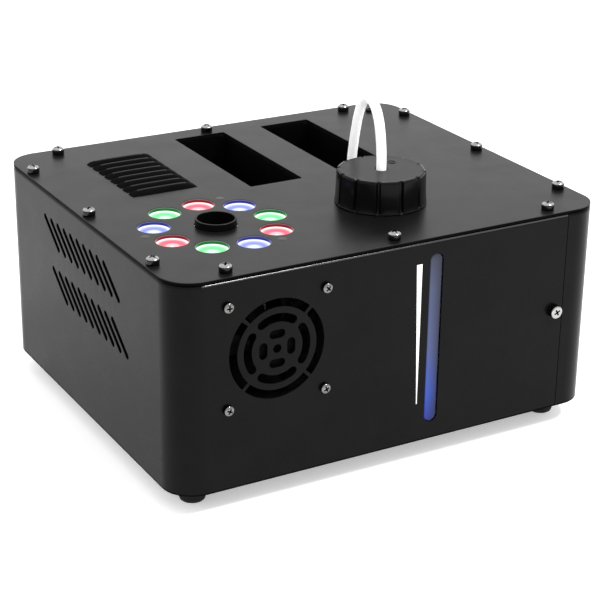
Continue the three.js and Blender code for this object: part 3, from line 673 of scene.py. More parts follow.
# Each run goes from the front seam to the back seam over straight walls and corners by turns: the length, the
# start of the wall or the centre of the corner, and where it faces, in degrees.
WALL_RUN = [
    (STRAIGHT, (SEAM_LEFT, FRONT), -90),
    (QUARTER, (LEFT + CORNER, FRONT + CORNER), -90),
    (SIDE, (LEFT, FRONT + CORNER), 180),
    (QUARTER, (LEFT + CORNER, BACK - CORNER), 180),
    (STRAIGHT, (LEFT + CORNER, BACK), 90),
]
COVER_RUN = [
    (SHORT, (SEAM_RIGHT, FRONT), -90),
    (QUARTER, (RIGHT - CORNER, FRONT + CORNER), -90),
    (SIDE, (RIGHT, FRONT + CORNER), 0),
    (QUARTER, (RIGHT - CORNER, BACK - CORNER), 0),
    (SHORT, (RIGHT - CORNER, BACK), 90),
]


def place_on(run, u, inset):
    """The place at a distance u along a run, moved in by inset."""
    way = 1 if run is COVER_RUN else -1  # anticlockwise, or clockwise
    for k, (length, (x, y), facing) in enumerate(run):
        if u <= length or k == len(run) - 1:
            break
        u -= length
    a = math.radians(facing)
    if k in (1, 3):
        a += way * u / CORNER
        return x + (CORNER - inset) * math.cos(a), y + (CORNER - inset) * math.sin(a)
    nx, ny = round(math.cos(a)), round(math.sin(a))
    return x - nx * inset - way * ny * u, y - ny * inset + way * nx * u


def folded_sheet(run, flange, holes=()):
    """A sheet with holes, u along the run and v up, wrapped round the housing, its upper edge folded in."""
    fold, end = WALL_TOP - BEND, sum(length for length, _, _ in run)
    quarter_bend = BEND * math.pi / 2
    top = fold + quarter_bend + flange
    bm = sheet([[(0, FLOOR_EDGE), (end, FLOOR_EDGE), (end, top), (0, top)], *holes], SHEET, WALL_EDGE)
    lines = corner_lines(run[0][0]) + corner_lines(run[0][0] + QUARTER + SIDE)
    sliced(sliced(bm, 0, lines), 1, fold_lines())
    for vert in bm.verts:
        u, v, w = vert.co
        if v <= fold:
            vert.co = (*place_on(run, u, -w), v)
        else:
            turn = min((v - fold) / BEND, math.pi / 2)
            past = max(0, v - fold - quarter_bend)
            reach = BEND + w
            x, y = place_on(run, u, BEND - reach * math.cos(turn) + past)
            vert.co = (x, y, fold + reach * math.sin(turn))
    return bm


def in_hem(face):
    return face.center.z < (FLOOR_EDGE + HEM) * MM


def fold_lines():
    fold = WALL_TOP - BEND
    turns = [fold + BEND * math.pi / 2 * k / 5 for k in range(6)]
    return [FLOOR_EDGE + HEM, fold - 1, *turns, turns[-1] + 1]


def corner_lines(start):
    return [start - 1, start - 0.01] + [start + QUARTER * k / 14 for k in range(15)] + [start + QUARTER + 1]


def front_u(x):
    return SEAM_LEFT - x


def left_u(y):
    return STRAIGHT + QUARTER + y - (FRONT + CORNER)


def back_u(x):
    return STRAIGHT + 2 * QUARTER + SIDE + x - (LEFT + CORNER)


def fan_grille_loops():
    cx, cz = front_u(FAN.x), FAN.z
    loops = [circle(cx, cz, GRILLE["hub"], 20)]
    for direction in (0, 90, 180, 270):
        loops.append(arc_slot(cx, cz, *GRILLE["outer"], direction, GRILLE["outer_half"], 26))
        loops.append(bent_slot(cx, cz, *GRILLE["middle"], direction, GRILLE["middle_half"], 20))
        x, z = arc(cx, cz, GRILLE["straight_at"], direction, direction, 1)[0]
        loops.append(obround(x, z, *GRILLE["straight"], direction + 90))
    return loops


def side_slot_loops():
    places = [(left_u(y - SLOTS["pitch"] * k), z) for y, z in SLOT_ROWS for k in range(SLOTS["count"])]
    return [obround(u, z, SLOTS["length"], SLOTS["width"], SLOTS["angle"]) for u, z in places]


def main_shell():
    middle, height = (WINDOW_LOW + WINDOW_HIGH) / 2, WINDOW_HIGH - WINDOW_LOW
    holes = [rounded_rect(front_u(WINDOW.x), middle, WINDOW_WIDTH, height, WINDOW_WIDTH / 2 - 0.01)]
    holes += [*fan_grille_loops(), *side_slot_loops()]
    holes.append(rounded_rect(back_u(PANEL.x), PANEL.z, *PANEL_CUTOUT, 2))
    holes.append(rounded_rect(back_u(INLET.x), INLET.z, *INLET_CUTOUT, 1))
    holes += [circle(back_u(s.x), s.z, SOCKET_HOLE) for s in SOCKETS]
    bm = folded_sheet(WALL_RUN, SHELL_FLANGE, holes)
    mesh = finished(bm, "housing_shell", [COAT, COAT_BEND_SHEEN, SHADED_EDGE])
    # The hem takes the near-black shaded edge, painted shade for the gap under the walls.
    for face in mesh.polygons:
        normal = face.normal
        # the front wall's fold, and only that one, takes the bend copy as a painted highlight line
        in_bend = face.center.z > (WALL_TOP - BEND) * MM and 0.2 < normal.z < 0.98 and normal.y < -0.15
        face.material_index = 2 if in_hem(face) else 1 if in_bend and abs(normal.x) < 0.1 else 0
    piece("housing_shell", mesh, ["main_shell"])


def side_cover():
    mesh = finished(folded_sheet(COVER_RUN, COVER_FLANGE), "side_cover_panel", [COAT, SHADED_EDGE])
    # The hem takes the near-black shaded edge, painted shade for the gap under the walls.
    for face in mesh.polygons:
        face.material_index = 1 if in_hem(face) else 0
    piece("side_cover_panel", mesh, ["side_cover"])


main_shell()
side_cover()


# ---------------------------------------------------------------- top plate
def louvre_hood(y):
    """A pressed hood, rounded down at its ends and open towards the back: a thin skin over a slot."""
    across, along, skin = 10, 26, 0.9
    x0, x1 = LOUVRE["x0"], LOUVRE["x1"]

    def point(i, j, back):
        s, t = -math.cos(math.pi * i / along), j / across
        crown = (1 - abs(s) ** 5) ** 0.6
        shape = math.sin(t * math.pi / 2) ** 0.9
        x = (x0 + x1) / 2 + s * (x1 - x0) / 2
        return x, y + LOUVRE["depth"] * t, TOP + LOUVRE["rise"] * crown * shape - skin * back

    return slab(point, along, across)


def top_plate():
    cx, cy = (LEFT + RIGHT) / 2, (FRONT + BACK) / 2
    outer = rounded_rect(cx, cy, RIGHT - LEFT, BACK - FRONT, CORNER, 20)
    holes = [circle(NOZZLE.x, NOZZLE.y, NOZZLE_RADIUS + 0.4, 48), circle(CAP.x, CAP.y, NECK_HOLE, 48)]
    holes.append(circle(GROMMET.x, GROMMET.y, GROMMET_HOLE, 24))
    holes += [rounded_rect(g.x, g.y, *GRIP_SIZE, 1.5, 4) for g in GRIPS]
    holes += [circle(lens.x, lens.y, LED_HOLE, 48) for lens in LENSES]
    x0, x1, depth = LOUVRE["x0"] + 1, LOUVRE["x1"] - 1, LOUVRE["depth"]
    rows = [LOUVRE["y"] + LOUVRE["pitch"] * k for k in range(LOUVRE["count"])]
    for y in rows:
        middle = y + (depth + 2.6) / 2 + 0.2
        holes.append(rounded_rect((x0 + x1) / 2, middle, x1 - x0, depth - 2.6, 2.2, 4))
    plate = moved(sheet([outer, *holes], PLATE, 0.3), upright(z=TOP))
    whole = joined(plate, *(louvre_hood(y) for y in rows))
    mesh = finished(whole, "cover_plate", [COAT_TOP, SHADED_EDGE, COAT], 38)
    # The plate's cut rim and the louvre hoods take the near-black shaded edge, painted shade; the hoods' flat
    # ridges take the walls' coat, painted as thin dim lines.
    for face in mesh.polygons:
        on_rim = face.center.z < (TOP - 0.35) * MM and abs(face.normal.z) < 0.5
        on_hood = face.center.z > (TOP + 0.05) * MM
        on_ridge = on_hood and face.normal.z > 0.992
        face.material_index = 2 if on_ridge else 1 if on_rim or on_hood else 0
    piece("cover_plate", mesh, ["top_plate"])


top_plate()


# ---------------------------------------------------------------- screws
PAN_HEAD = [
    (0, 4.1), (1.6, 4.02), (2.8, 3.76), (3.7, 3.35), (4.25, 2.9), (4.5, 2.4), (4.5, 0.4), (4.2, 0), (0, 0)
]


def cross_cutter(reach, half_width, top, bottom):
    """A tapered cross, the shape that a cross-head driver leaves."""
    bm = bmesh.new()
    rings = []
    for height, scale in ((top, 1.35), (bottom, 0.55)):
        arm, half = reach * scale, half_width * scale
        loop = [(arm, -half), (arm, half), (half, half), (half, arm), (-half, arm), (-half, half)]
        loop += [(-x, -y) for x, y in loop]
        rings.append([bm.verts.new((x, y, height)) for x, y in loop])
    band(bm, *rings)
    for ring in rings:
        bm.faces.new(ring)
    bmesh.ops.triangulate(bm, faces=[f for f in bm.faces if len(f.verts) > 4])
    return moved(bm, turned(3))


def with_recess(mesh, cutter, reach, floor):
    """The mesh with a recess cut in its top, in the second material, whose near-black is painted shade; the
    head's side takes the third, a dark nickel that is painted shade too.
    """
    cut = carved(mesh, cutter)
    for face in cut.polygons:
        steep = face.normal.z < 0.55
        inside = face.center.xy.length < reach * MM and face.center.z > floor * MM
        pit = inside and (steep or face.center.z < (floor + 0.3) * MM)
        side = not inside and face.normal.z < 0.6
        face.material_index = 1 if pit else 2 if side else 0
        face.use_smooth = True
    cut.set_sharp_from_angle(angle=math.radians(40))
    return cut


def pan_screw_mesh(name, size=1.0, material=None, tall=1.0):
    """A domed head with a cross recess; size 1 is 9 mm across and tall stretches the head's height."""
    up = size * tall
    head = [(r * size, h * up) for r, h in PAN_HEAD]
    looks = [material or NICKEL, PAINTED_SHADE, SHADED_NICKEL]
    mesh = finished(revolved(softened(head, 0.3 * size, 2), 32), name, looks, 40)
    cutter = cross_cutter(2.3 * size, 0.62 * size, 4.8 * up, 1.7 * up)
    cut = with_recess(mesh, cutter, 3 * size, 1.6 * up)
    cut.name = name
    return cut


def placed(name, mesh, matrix, replaced=(), body="housing"):
    """A copy of a shared mesh put in place, its place baked into the mesh."""
    copy = mesh.copy()
    scaled = matrix.copy()
    scaled.translation = matrix.translation * MM
    copy.transform(scaled)
    copy.name = name
    return piece(name, copy, replaced, body)


def screws():
    big = pan_screw_mesh("pan_screw", tall=1.32)
    for k, place in enumerate(TOP_SCREWS):
        matrix = upright(place.x, place.y, TOP) @ turned(37 * k + 12)
        placed(f"plate_screw_{k + 1}", big, matrix, [f"top_screw_{k + 1}"])
    dark = pan_screw_mesh("black_screw", 0.6, BLACK)
    placed("spare_stud", dark, upright(*SPARE_STUD, TOP))
    small = pan_screw_mesh("fan_screw", 0.8, DARK_NICKEL)
    half = FAN_SCREWS / 2
    for k, (dx, dz) in enumerate([(-half, -half), (-half, half), (half, -half), (half, half)], 1):
        matrix = on_front(FAN.x + dx, FRONT, FAN.z + dz) @ turned(40 + 23 * k)
        placed(f"fan_screw_{k}", small, matrix)


def thumb_screws():
    """A knurled knob with a cross recess in its end."""
    profile = [(0, 4.4), (3.6, 4.4), (4.5, 4), (4.9, 3.3), (4.9, 1.5), (4.5, 1.1), (3.8, 1), (3.8, 0), (0, 0)]

    def knurl(angle, r, height):
        return r - (0.28 if math.cos(24 * angle) < 0 and r > 4.4 and 1.1 < height < 3.8 else 0)

    knob = revolved(softened(profile, 0.25, 2), 96, knurl)
    mesh = finished(knob, "thumb_screw", [NICKEL, PAINTED_SHADE, SHADED_NICKEL], 35)
    mesh = with_recess(mesh, cross_cutter(2.2, 0.6, 5.2, 2.4), 3.4, 2.3)
    for side, stand, wall, angle in (("front", on_front, FRONT, 25), ("back", on_back, BACK, 70)):
        matrix = stand(THUMB.x, wall, THUMB.z) @ turned(angle)
        placed(f"cover_screw_{side}", mesh, matrix, [f"thumb_screw_{side}"])


def flush_studs():
    """The flush heads that hold the LED board under the plate."""
    profile = [(0, 0.14), (2.6, 0.14), (3.1, 0.02), (3.1, -0.4), (0, -0.4)]
    for k, angle in enumerate(STUD_ANGLES):
        x, y = arc(NOZZLE.x, NOZZLE.y, STUD_RING, angle, angle, 1)[0]
        build(f"flush_stud_{k + 1}", moved(revolved(profile, 32), upright(x, y, TOP)), STUD)


screws()
thumb_screws()
flush_studs()


# ---------------------------------------------------------------- fluid cap and tank
def tank_cap():
    height, foot = CAP_HIGH.z - TOP, CAP_LOW.z - TOP
    base, rim, inside = CAP_BASE, CAP_RIM, CAP_INSIDE
    profile = [
        (4.3, height - 5), (4.3, height - 0.5), (4.8, height), (rim - 5, height - 0.15), (rim - 1.6, height),
        (rim - 0.5, height - 0.5), (rim, height - 1.8), (rim + 0.2, 12), (rim + 0.5, 5),
        (base - 0.9, foot + 1.2), (base - 0.8, foot + 0.3), (base - 1, foot),
        (inside + 0.3, foot), (inside, foot + 1), (inside, height - 5),
    ]

    def fluted(angle, radius, z):
        """Twelve flats and grooves outside, none in the bore or on the inner wall."""
        if radius < rim - 6 or (radius < rim - 2 and z < height - 4):
            return radius
        off = (math.degrees(angle) - 25 + 15) % 30 - 15
        flat = math.cos(math.radians(15)) / math.cos(math.radians(15 - abs(off)))
        facet = radius * (0.45 + 0.55 * flat)
        fade = max(0, min(1, (z - foot) / 1.5))
        groove = 1.9 * max(0, 1 - (abs(off) / 2.6) ** 4)
        return radius + (facet - radius) * fade - groove * fade

    rise = [(0, 0.02), (1.1, 0.02), (1.2, -0.2), (2.1, -0.2), (2.3, 0.25), (3, 0.25), (3.2, -0.4), (0, -0.4)]
    vent = moved(revolved([(r, height + h) for r, h in rise], 32), upright(*CAP_VENT))
    whole = moved(joined(ring_solid(profile, 360, fluted), vent), upright(CAP.x, CAP.y, TOP))
    build("fluid_cap", whole, CAP_PLASTIC, ["tank_cap"], "tank_cap", 24)


def plan_middle(low, high):
    return (low.x + high.x) / 2, (low.y + high.y) / 2


def fluid_tank():
    low, high = node_box("fluid_tank")
    loop = rounded_rect(*plan_middle(low, high), high.x - low.x, high.y - low.y, 4, 6)
    body = moved(sheet([loop], TANK_SHOULDER - low.z, 3, 3), upright(z=TANK_SHOULDER))
    outer, inner, foot, top = NECK_RADIUS, NECK_BORE, TANK_SHOULDER - 1, high.z
    profile = [(inner, foot), (outer, foot), (outer, top - 16)]
    for crest in (top - 14 + 4.2 * k for k in range(3)):
        thread = outer + 1.2
        profile += [(outer, crest - 1.5), (thread, crest - 0.5), (thread, crest + 0.3), (outer, crest + 1.2)]
    profile += [(outer, top - 0.5), (outer - 0.5, top), (inner + 0.4, top), (inner, top - 0.4)]
    neck = moved(ring_solid(profile, 64), upright(CAP.x, CAP.y))
    build("tank_body", joined(body, neck), TANK, ["fluid_tank"])


def hose_grommet():
    profile = [
        (3.8, -4.2), (6.4, -4.2), (6.4, -2.4), (5.1, -2.3), (5.1, 0.1), (7.0, 0.3), (6.7, 1.3), (5.6, 2),
        (3.8, 2),
    ]
    bm = moved(ring_solid(softened(profile, 0.3, 2, True), 40), upright(GROMMET.x, GROMMET.y, TOP))
    build("hose_bush", bm, RUBBER, ["hose_grommet"])


tank_cap()
fluid_tank()
hose_grommet()


# ---------------------------------------------------------------- nozzle and LEDs
def nozzle():
    r, wall = NOZZLE_RADIUS, 1.5
    low = node_box("nozzle_tube")[0].z
    profile = [(r - wall, low), (r, low), (r, NOZZLE_TOP), (r - wall, NOZZLE_TOP)]
    bm = moved(ring_solid(softened(profile, 0.45, 3, True), 72), upright(NOZZLE.x, NOZZLE.y))
    build("spray_tube", bm, COAT, ["nozzle_tube"], sharp=25)


def lit_lens(name, rim, body, heart, power):
    """A lens over a lit LED: a tinted disc with a white outline and a hot spot towards the front."""
    material, tree, shader = new_material(
        name, Roughness=0.35, Specular_IOR_Level=0.15, Base_Color=(*rim, 1), Emission_Strength=power
    )

    def distance(x, y):
        """How far a point is from (x, y) on the lens, as a share of the lens's radius."""
        value = object_point(tree)
        share = 1 / (LED_HOLE * MM)
        for operation, other in (("SUBTRACT", (x * MM, y * MM, 0)), ("MULTIPLY", (share, share, 0))):
            step = node(tree, "ShaderNodeVectorMath", operation=operation)
            step.inputs[1].default_value = other
            tree.links.new(value, step.inputs[0])
            value = step.outputs["Vector"]
        length = node(tree, "ShaderNodeVectorMath", operation="LENGTH")
        tree.links.new(value, length.inputs[0])
        return length.outputs["Value"]

    white, shade = (1, 1, 1), tuple(0.5 * a + 0.5 * b for a, b in zip(rim, body))
    disc = ramp(tree, distance(0, 0), [
        (0.0, heart), (0.3, heart), (0.45, body), (0.62, shade), (0.8, body), (0.89, white), (0.945, white),
        (0.975, rim),
    ])
    spot = ramp(tree, distance(-2.4, -4.4), [(0.0, white), (0.26, white), (0.4, body), (0.55, (0, 0, 0))])
    feed(tree, shader, Emission_Color=mixed(tree, "LIGHTEN", disc, spot))
    bump(tree, shader, noise(tree, 600, 2, 0.5), 0.0002, 0.3)
    return material


def lit_collar(name, colour, power):
    material, tree, shader = new_material(
        name, Roughness=0.2, Base_Color=(*times(colour, 0.12), 1), Emission_Strength=power
    )
    # The collar's glow is the LED's light on the hole's wall, painted in: darkest low down as painted shadow
    # under the plate, palest at its upper edge.
    dark, deep = times(colour, 0.08), times(colour, 0.3)
    pale = tuple(0.6 * c + 0.2 for c in colour)
    stops = [(0.05, dark), (0.5, deep), (0.8, deep), (0.97, pale)]
    feed(tree, shader, Emission_Color=ramp(tree, place_along(tree, "Z", -3, -0.2), stops))
    return material


LED_COLOURS = {
    "green": ((0.01, 0.3, 0.06), (0.36, 0.86, 0.44), (0.72, 1.0, 0.78)),
    "blue": ((0.04, 0.05, 0.45), (0.42, 0.48, 0.86), (0.78, 0.82, 1.0)),
    "red": ((0.42, 0.015, 0.04), (0.82, 0.26, 0.3), (1.0, 0.62, 0.64)),
}


def led_lenses():
    looks = {}
    for name, colours in LED_COLOURS.items():
        lens, collar = lit_lens(f"lens_{name}", *colours, 1.08), lit_collar(f"collar_{name}", colours[0], 0.8)
        looks[name] = (lens, collar)
    top = LENS_TOP - TOP
    drop = [
        (0, 0.5), (1.8, 0.6), (2.4, 1.1), (3, 1.3), (6, 1.5), (8.6, 1.2), (10, 0.6), (10.6, 0.1), (11.3, 0),
        (12.3, 0.3), (12.3, 2.2), (5, 12), (0, 12),
    ]
    rim = [(11.1, top + 0.1), (11.4, top + 0.1), (11.4, -0.3), (11.2, -0.2), (11.1, -0.4)]
    for k, centre in enumerate(LENSES):
        name = ("green", "blue", "red")[k % 3]
        parts = (revolved([(r, top - d) for r, d in drop], 56), 0), (ring_solid(rim, 64), 1)
        mesh = finished(joined(*parts), f"lit_lens_{k + 1}", looks[name], 50)
        made = added(f"lit_lens_{k + 1}", mesh)
        made.location = Vector((centre.x, centre.y, TOP)) * MM
        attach(made, "housing")
        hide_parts(f"led_lens_{k + 1}")


nozzle()
led_lenses()


# ---------------------------------------------------------------- fluid level
def level_glow():
    """The lit strip: slate blue at the top, deep blue at the foot; across it, a painted highlight along its
    left side and painted shade along its right, under the recess's wall.
    """
    material, tree, shader = new_material(
        "level_diffuser", Roughness=0.25, Base_Color=(0.01, 0.01, 0.02, 1), Emission_Strength=1.0,
        Specular_IOR_Level=0.2,
    )
    half = WINDOW_WIDTH / 2
    up = ramp(tree, place_along(tree, "Z", WINDOW_LOW, WINDOW_HIGH), [
        (0.0, (0.001, 0.002, 0.02)), (0.03, (0.006, 0.022, 0.22)), (0.18, (0.02, 0.062, 0.36)),
        (0.45, (0.056, 0.076, 0.19)), (0.8, (0.05, 0.067, 0.125)), (0.96, (0.03, 0.036, 0.06)),
        (1.0, (0.006, 0.007, 0.012)),
    ])
    across = ramp(tree, place_along(tree, "X", WINDOW.x - half, WINDOW.x + half), [
        (0.0, 0.2), (0.1, 1.5), (0.28, 1.3), (0.55, 0.9), (0.8, 0.45), (0.95, 0.08)
    ])
    feed(tree, shader, Emission_Color=mixed(tree, "MULTIPLY", up, across))
    bump(tree, shader, noise(tree, 400, 2), 0.0001, 0.3)
    return material


def level_window():
    middle, gap = (WINDOW_LOW + WINDOW_HIGH) / 2, 0.4
    height = WINDOW_HIGH - WINDOW_LOW - gap
    loop = rounded_rect(0, 0, WINDOW_WIDTH - gap, height, WINDOW_WIDTH / 2 - 0.25, 10)
    bm = moved(sheet([loop], 2.6, 1.2, 5, 0.2), on_front(WINDOW.x, FRONT + 0.5, middle))
    build("level_strip", bm, level_glow(), ["level_window"], sharp=60)


def level_scale():
    """The printed white wedge beside the strip that narrows towards empty."""
    right, low, high, narrow, wide = 16.4, 44, 147, 0.7, 4.4
    loop = [(right - narrow, low), (right, low), (right, high), (right - wide, high)]
    bm = moved(sheet([loop], 0.1, 0.02, 1), on_front(0, FRONT - 0.05, 0))
    build("level_scale", bm, PRINT)


level_window()
level_scale()


# ---------------------------------------------------------------- grips and feet
def grip_pocket(k, centre, node_name):
    """A folded tub in near-black, painted shade for the pocket's inside. Its rows are the inset from the
    opening, the corners' radius and the depth.
    """
    width, length = GRIP_SIZE
    edge, skin = TOP - 0.5, 1.7
    depth = edge - GRIP_FLOOR
    rows = [
        (0.15, 0.6, 0), (0.15, 0.9, 1.2), (0.9, 2, 2.4), (0.9, 2, depth - 6), (1.6, 3.5, depth - 2.5),
        (4.5, 5, depth - 0.8), (8, 5, depth - 0.6),
    ]
    bm, layers = bmesh.new(), []
    for grow, round_off, low in ((0, 1.2, edge), (2.2, 1.6, edge - skin)):
        rings = []
        for inset, radius, d in rows:
            size = (width - 2 * inset + grow, length - 2 * inset + grow)
            loop = rounded_rect(centre.x, centre.y, *size, round_off + radius, 5)
            rings.append([bm.verts.new((x, y, low - d)) for x, y in loop])
        layers.append(rings)
    inner, outer = layers
    for one, two in [*zip(inner, inner[1:]), *zip(outer, outer[1:]), (inner[0], outer[0])]:
        band(bm, one, two)
    for rings in layers:
        bm.faces.new(rings[-1])
    bmesh.ops.triangulate(bm, faces=[f for f in bm.faces if len(f.verts) > 4])
    build(f"grip_tub_{k + 1}", bm, PAINTED_SHADE, [node_name], sharp=40)


def feet():
    for side in ("front_left", "front_right", "back_left", "back_right"):
        low, high = node_box(f"foot_{side}")
        r, h = (high.x - low.x) / 2, high.z
        profile = [
            (0, h), (r, h), (r, 5), (r - 0.5, 4.4), (r - 0.5, 3.8), (r, 3.2), (r - 0.7, 0.8), (r - 2, 0),
            (4.2, 0), (3.2, 0.8), (3, 5.5), (0, 5.5),
        ]
        bm = moved(revolved(softened(profile, 0.5, 2), 40), upright(*plan_middle(low, high)))
        build(f"rubber_foot_{side}", bm, RUBBER, [f"foot_{side}"])


grip_pocket(0, GRIPS[0], "grip_pocket_left")
grip_pocket(1, GRIPS[1], "grip_pocket_right")
feet()


# ---------------------------------------------------------------- fan
def fan_frame():
    low, high = node_box("fan_frame")
    half, flange, bore = (high.x - low.x) / 2, FAN_FLANGE, FAN_BORE
    square = rounded_rect(0, 0, 2 * half, 2 * half, 4, 6)
    loops = [square, circle(0, 0, bore, 64)]
    for dx in (-FAN_SCREWS / 2, FAN_SCREWS / 2):
        loops += [circle(dx, dz, 2.3, 16) for dz in (-FAN_SCREWS / 2, FAN_SCREWS / 2)]
    tube = ring_solid([(bore, 0), (39.6, 0), (39.6, -18.2), (bore, -18.2)], 64)
    motor = revolved(softened([(0, 0), (17, 0), (17, -3), (0, -3)], 0.6), 48)
    struts = [moved(block(15, 39, -1.6, 1.6, -3, 0), turned(90 * k + 20)) for k in range(4)]
    places = [(sheet(loops, flange, 0.4), low.y), (sheet(loops, flange, 0.4), high.y - flange)]
    places += [(tube, low.y + 3.4), *((bm, high.y - 3) for bm in (motor, *struts))]
    whole = joined(*(moved(bm, on_front(FAN.x, y, FAN.z)) for bm, y in places))
    build("fan_housing", whole, BLACK, ["fan_frame"])


def fan_blade(angle):
    """A swept blade, pitched steeply at the hub and flatter at its tip."""
    spans, chords, thick, reach = 7, 6, 1.3, 8.8

    def point(i, j, back):
        out, across = i / spans, 2 * j / chords - 1
        r = FAN_HUB + (FAN_TIP - FAN_HUB) * out
        pitch = math.radians(52 - 22 * out)
        c = across / 2 * (19 + 5 * out)
        camber = 1.8 * (1 - across**2)
        edge = (-thick / 2 if back else thick / 2) * (1 - 0.75 * abs(across) ** 3)
        sweep = c * math.cos(pitch) / r + 0.25 * out
        depth = max(-reach, min(reach, c * math.sin(pitch) + camber + edge))
        return r * math.cos(sweep), r * math.sin(sweep), depth

    return moved(slab(point, spans, chords), turned(angle))


def fan_rotor():
    low, high = node_box("fan_rotor")
    half = (high.y - low.y) / 2
    profile = [(0, half - 0.6), (3, half - 0.6), (4, half), (16, half), (16, -half), (0, -half)]
    blades = [fan_blade(360 / BLADES * k) for k in range(BLADES)]
    whole = joined(revolved(softened(profile, 1.2), 56), *blades)
    moved(whole, on_front(FAN.x, (low.y + high.y) / 2, FAN.z))
    # The impeller is black plastic, made near-black here as painted shade behind the grille.
    build("fan_impeller", whole, PAINTED_SHADE, ["fan_rotor"], "fan_rotor", 40)


fan_frame()
fan_rotor()


# ---------------------------------------------------------------- back
def seven_segments(text, height, gap):
    """Slanted digit bars for a display, each a small six-sided bar."""
    bars = {"0": "abcdef", "1": "bc"}
    w, half, t = height * 0.52, height / 2, height * 0.085
    ends = {"a": ((0, height), (w, height)), "b": ((w, height), (w, half)), "c": ((w, half), (w, 0)),
            "d": ((0, 0), (w, 0)), "e": ((0, 0), (0, half)), "f": ((0, half), (0, height))}
    parts = []
    for k, digit in enumerate(text):
        for name in bars[digit]:
            a, b = (Vector(p) for p in ends[name])
            along = (b - a).normalized()
            side = Vector((-along.y, along.x)) * t
            a, b = a + along * t * 0.25, b - along * t * 0.25
            one, two = a + along * t, b - along * t
            loop = [a, one + side, two + side, b, two - side, one - side]
            x0 = k * (w + gap)
            parts.append(sheet([[(p.x + x0 + p.y * 0.1, p.y) for p in loop]], 0.15, 0.02, 1))
    width = len(text) * (w + gap) - gap
    return moved(joined(*parts), upright(-width / 2, -half))


def control_panel():
    width, height, face = size_on_back("control_panel")
    buttons = [node_middle(f"menu_button_{k + 1}") for k in range(4)]
    buttons = [(PANEL.x - b.x, b.z - PANEL.z) for b in buttons]
    display = rounded_rect(0, 11, 52, 22, 1.5, 4)
    holes = [*(circle(x, z, 4.4, 28) for x, z in buttons), display]
    plate = sheet([rounded_rect(0, 0, width, height, 4), *holes], face - node_box("control_panel")[0].y, 0.3)
    glass = moved(sheet([rounded_rect(0, 11, 51.4, 21.4, 1.3, 4)], 1.2, 0.2), upright(z=-0.5))
    digits = moved(seven_segments("001", 12, 3.4), upright(0, 11, -0.42))
    rim = [(4.5, 0), (5.4, 0), (5.3, 0.35), (4.6, 0.35)]
    rings = [(moved(ring_solid(rim, 32), upright(x, z)), 0) for x, z in buttons]
    whole = moved(joined((plate, 0), (glass, 1), (digits, 2), *rings), on_back(PANEL.x, face, PANEL.z))
    build("menu_panel", whole, [BLACK, DISPLAY, DIGITS], ["control_panel"])
    screw = pan_screw_mesh("panel_screw", 0.6, DARK_NICKEL)
    out, up = width / 2 - 4.4, height / 2 - 4.4
    for k, (dx, dz) in enumerate([(-out, -up), (out, -up), (out, up), (-out, up)]):
        matrix = on_back(PANEL.x + dx, face, PANEL.z + dz) @ turned(31 * k)
        placed(f"panel_screw_{k + 1}", screw, matrix)


def menu_buttons():
    for name in (f"menu_button_{k + 1}" for k in range(4)):
        low, high = node_box(name)
        reach, middle = high.y - low.y, node_middle(name)
        profile = [
            (0, 0), (1.6, -0.05), (2.8, -0.25), (3.6, -0.6), (4, -1.2), (4, -5), (5.4, -5), (5.4, -6.2),
            (2, -6.2), (2, -reach), (0, -reach),
        ]
        bm = moved(revolved(softened(profile, 0.25, 2), 40), on_back(middle.x, high.y, middle.z))
        build(f"key_{name[-1]}", bm, RUBBER, [name], name)


def mains_inlet():
    """The socket with its three pins, the fuse holder's mouth and the switch's frame in one flanged block."""
    width, height, face = size_on_back("mains_inlet")
    dx, z0 = 12.2, -26.5
    mouth = [(-dx, z0), (dx, z0), (dx, z0 + 12), (dx - 5, z0 + 17), (5 - dx, z0 + 17), (-dx, z0 + 12)]
    drawer = rounded_rect(0, 0, 29, 7.8, 0.5, 3)
    rocker = rounded_rect(0, 18, 27, 18.6, 1, 4)
    outer = [(x * 1.06, (z + 18) * 1.08 - 18) for x, z in mouth]
    body = rounded_rect(0, 0, width - 4, height - 4, 2)
    flange = sheet([rounded_rect(0, 0, width, height, 3), mouth, drawer, rocker], face - BACK - 0.1, 0.5, 3)
    parts = [
        flange,
        moved(sheet([body, mouth, drawer, rocker], 17, 0.05, 1), upright(z=-1)),
        moved(sheet([body, drawer], 1.5, 0.05, 1), upright(z=-17.5)),
        moved(sheet([outer, mouth], 1.2, 0.3), upright(z=0.6)),
    ]
    spots = ((-7, -20), (7, -20), (0, -14))
    pins = [(block(x - 1, x + 1, z - 2.1, z + 2.1, -17, -5.2, 0.5), 1) for x, z in spots]
    ribs = [sheet([rounded_rect(0, z, 30, 1.2, 0.5, 3)], 0.5, 0.2) for z in (-5.6, 28.6)]
    ribs = [(moved(rib, upright(z=0.35)), 0) for rib in ribs]
    whole = joined(*((part, 0) for part in parts), *pins, *ribs)
    moved(whole, on_back(INLET.x, face, INLET.z))
    build("power_inlet", whole, [BLACK, BRASS], ["mains_inlet"])


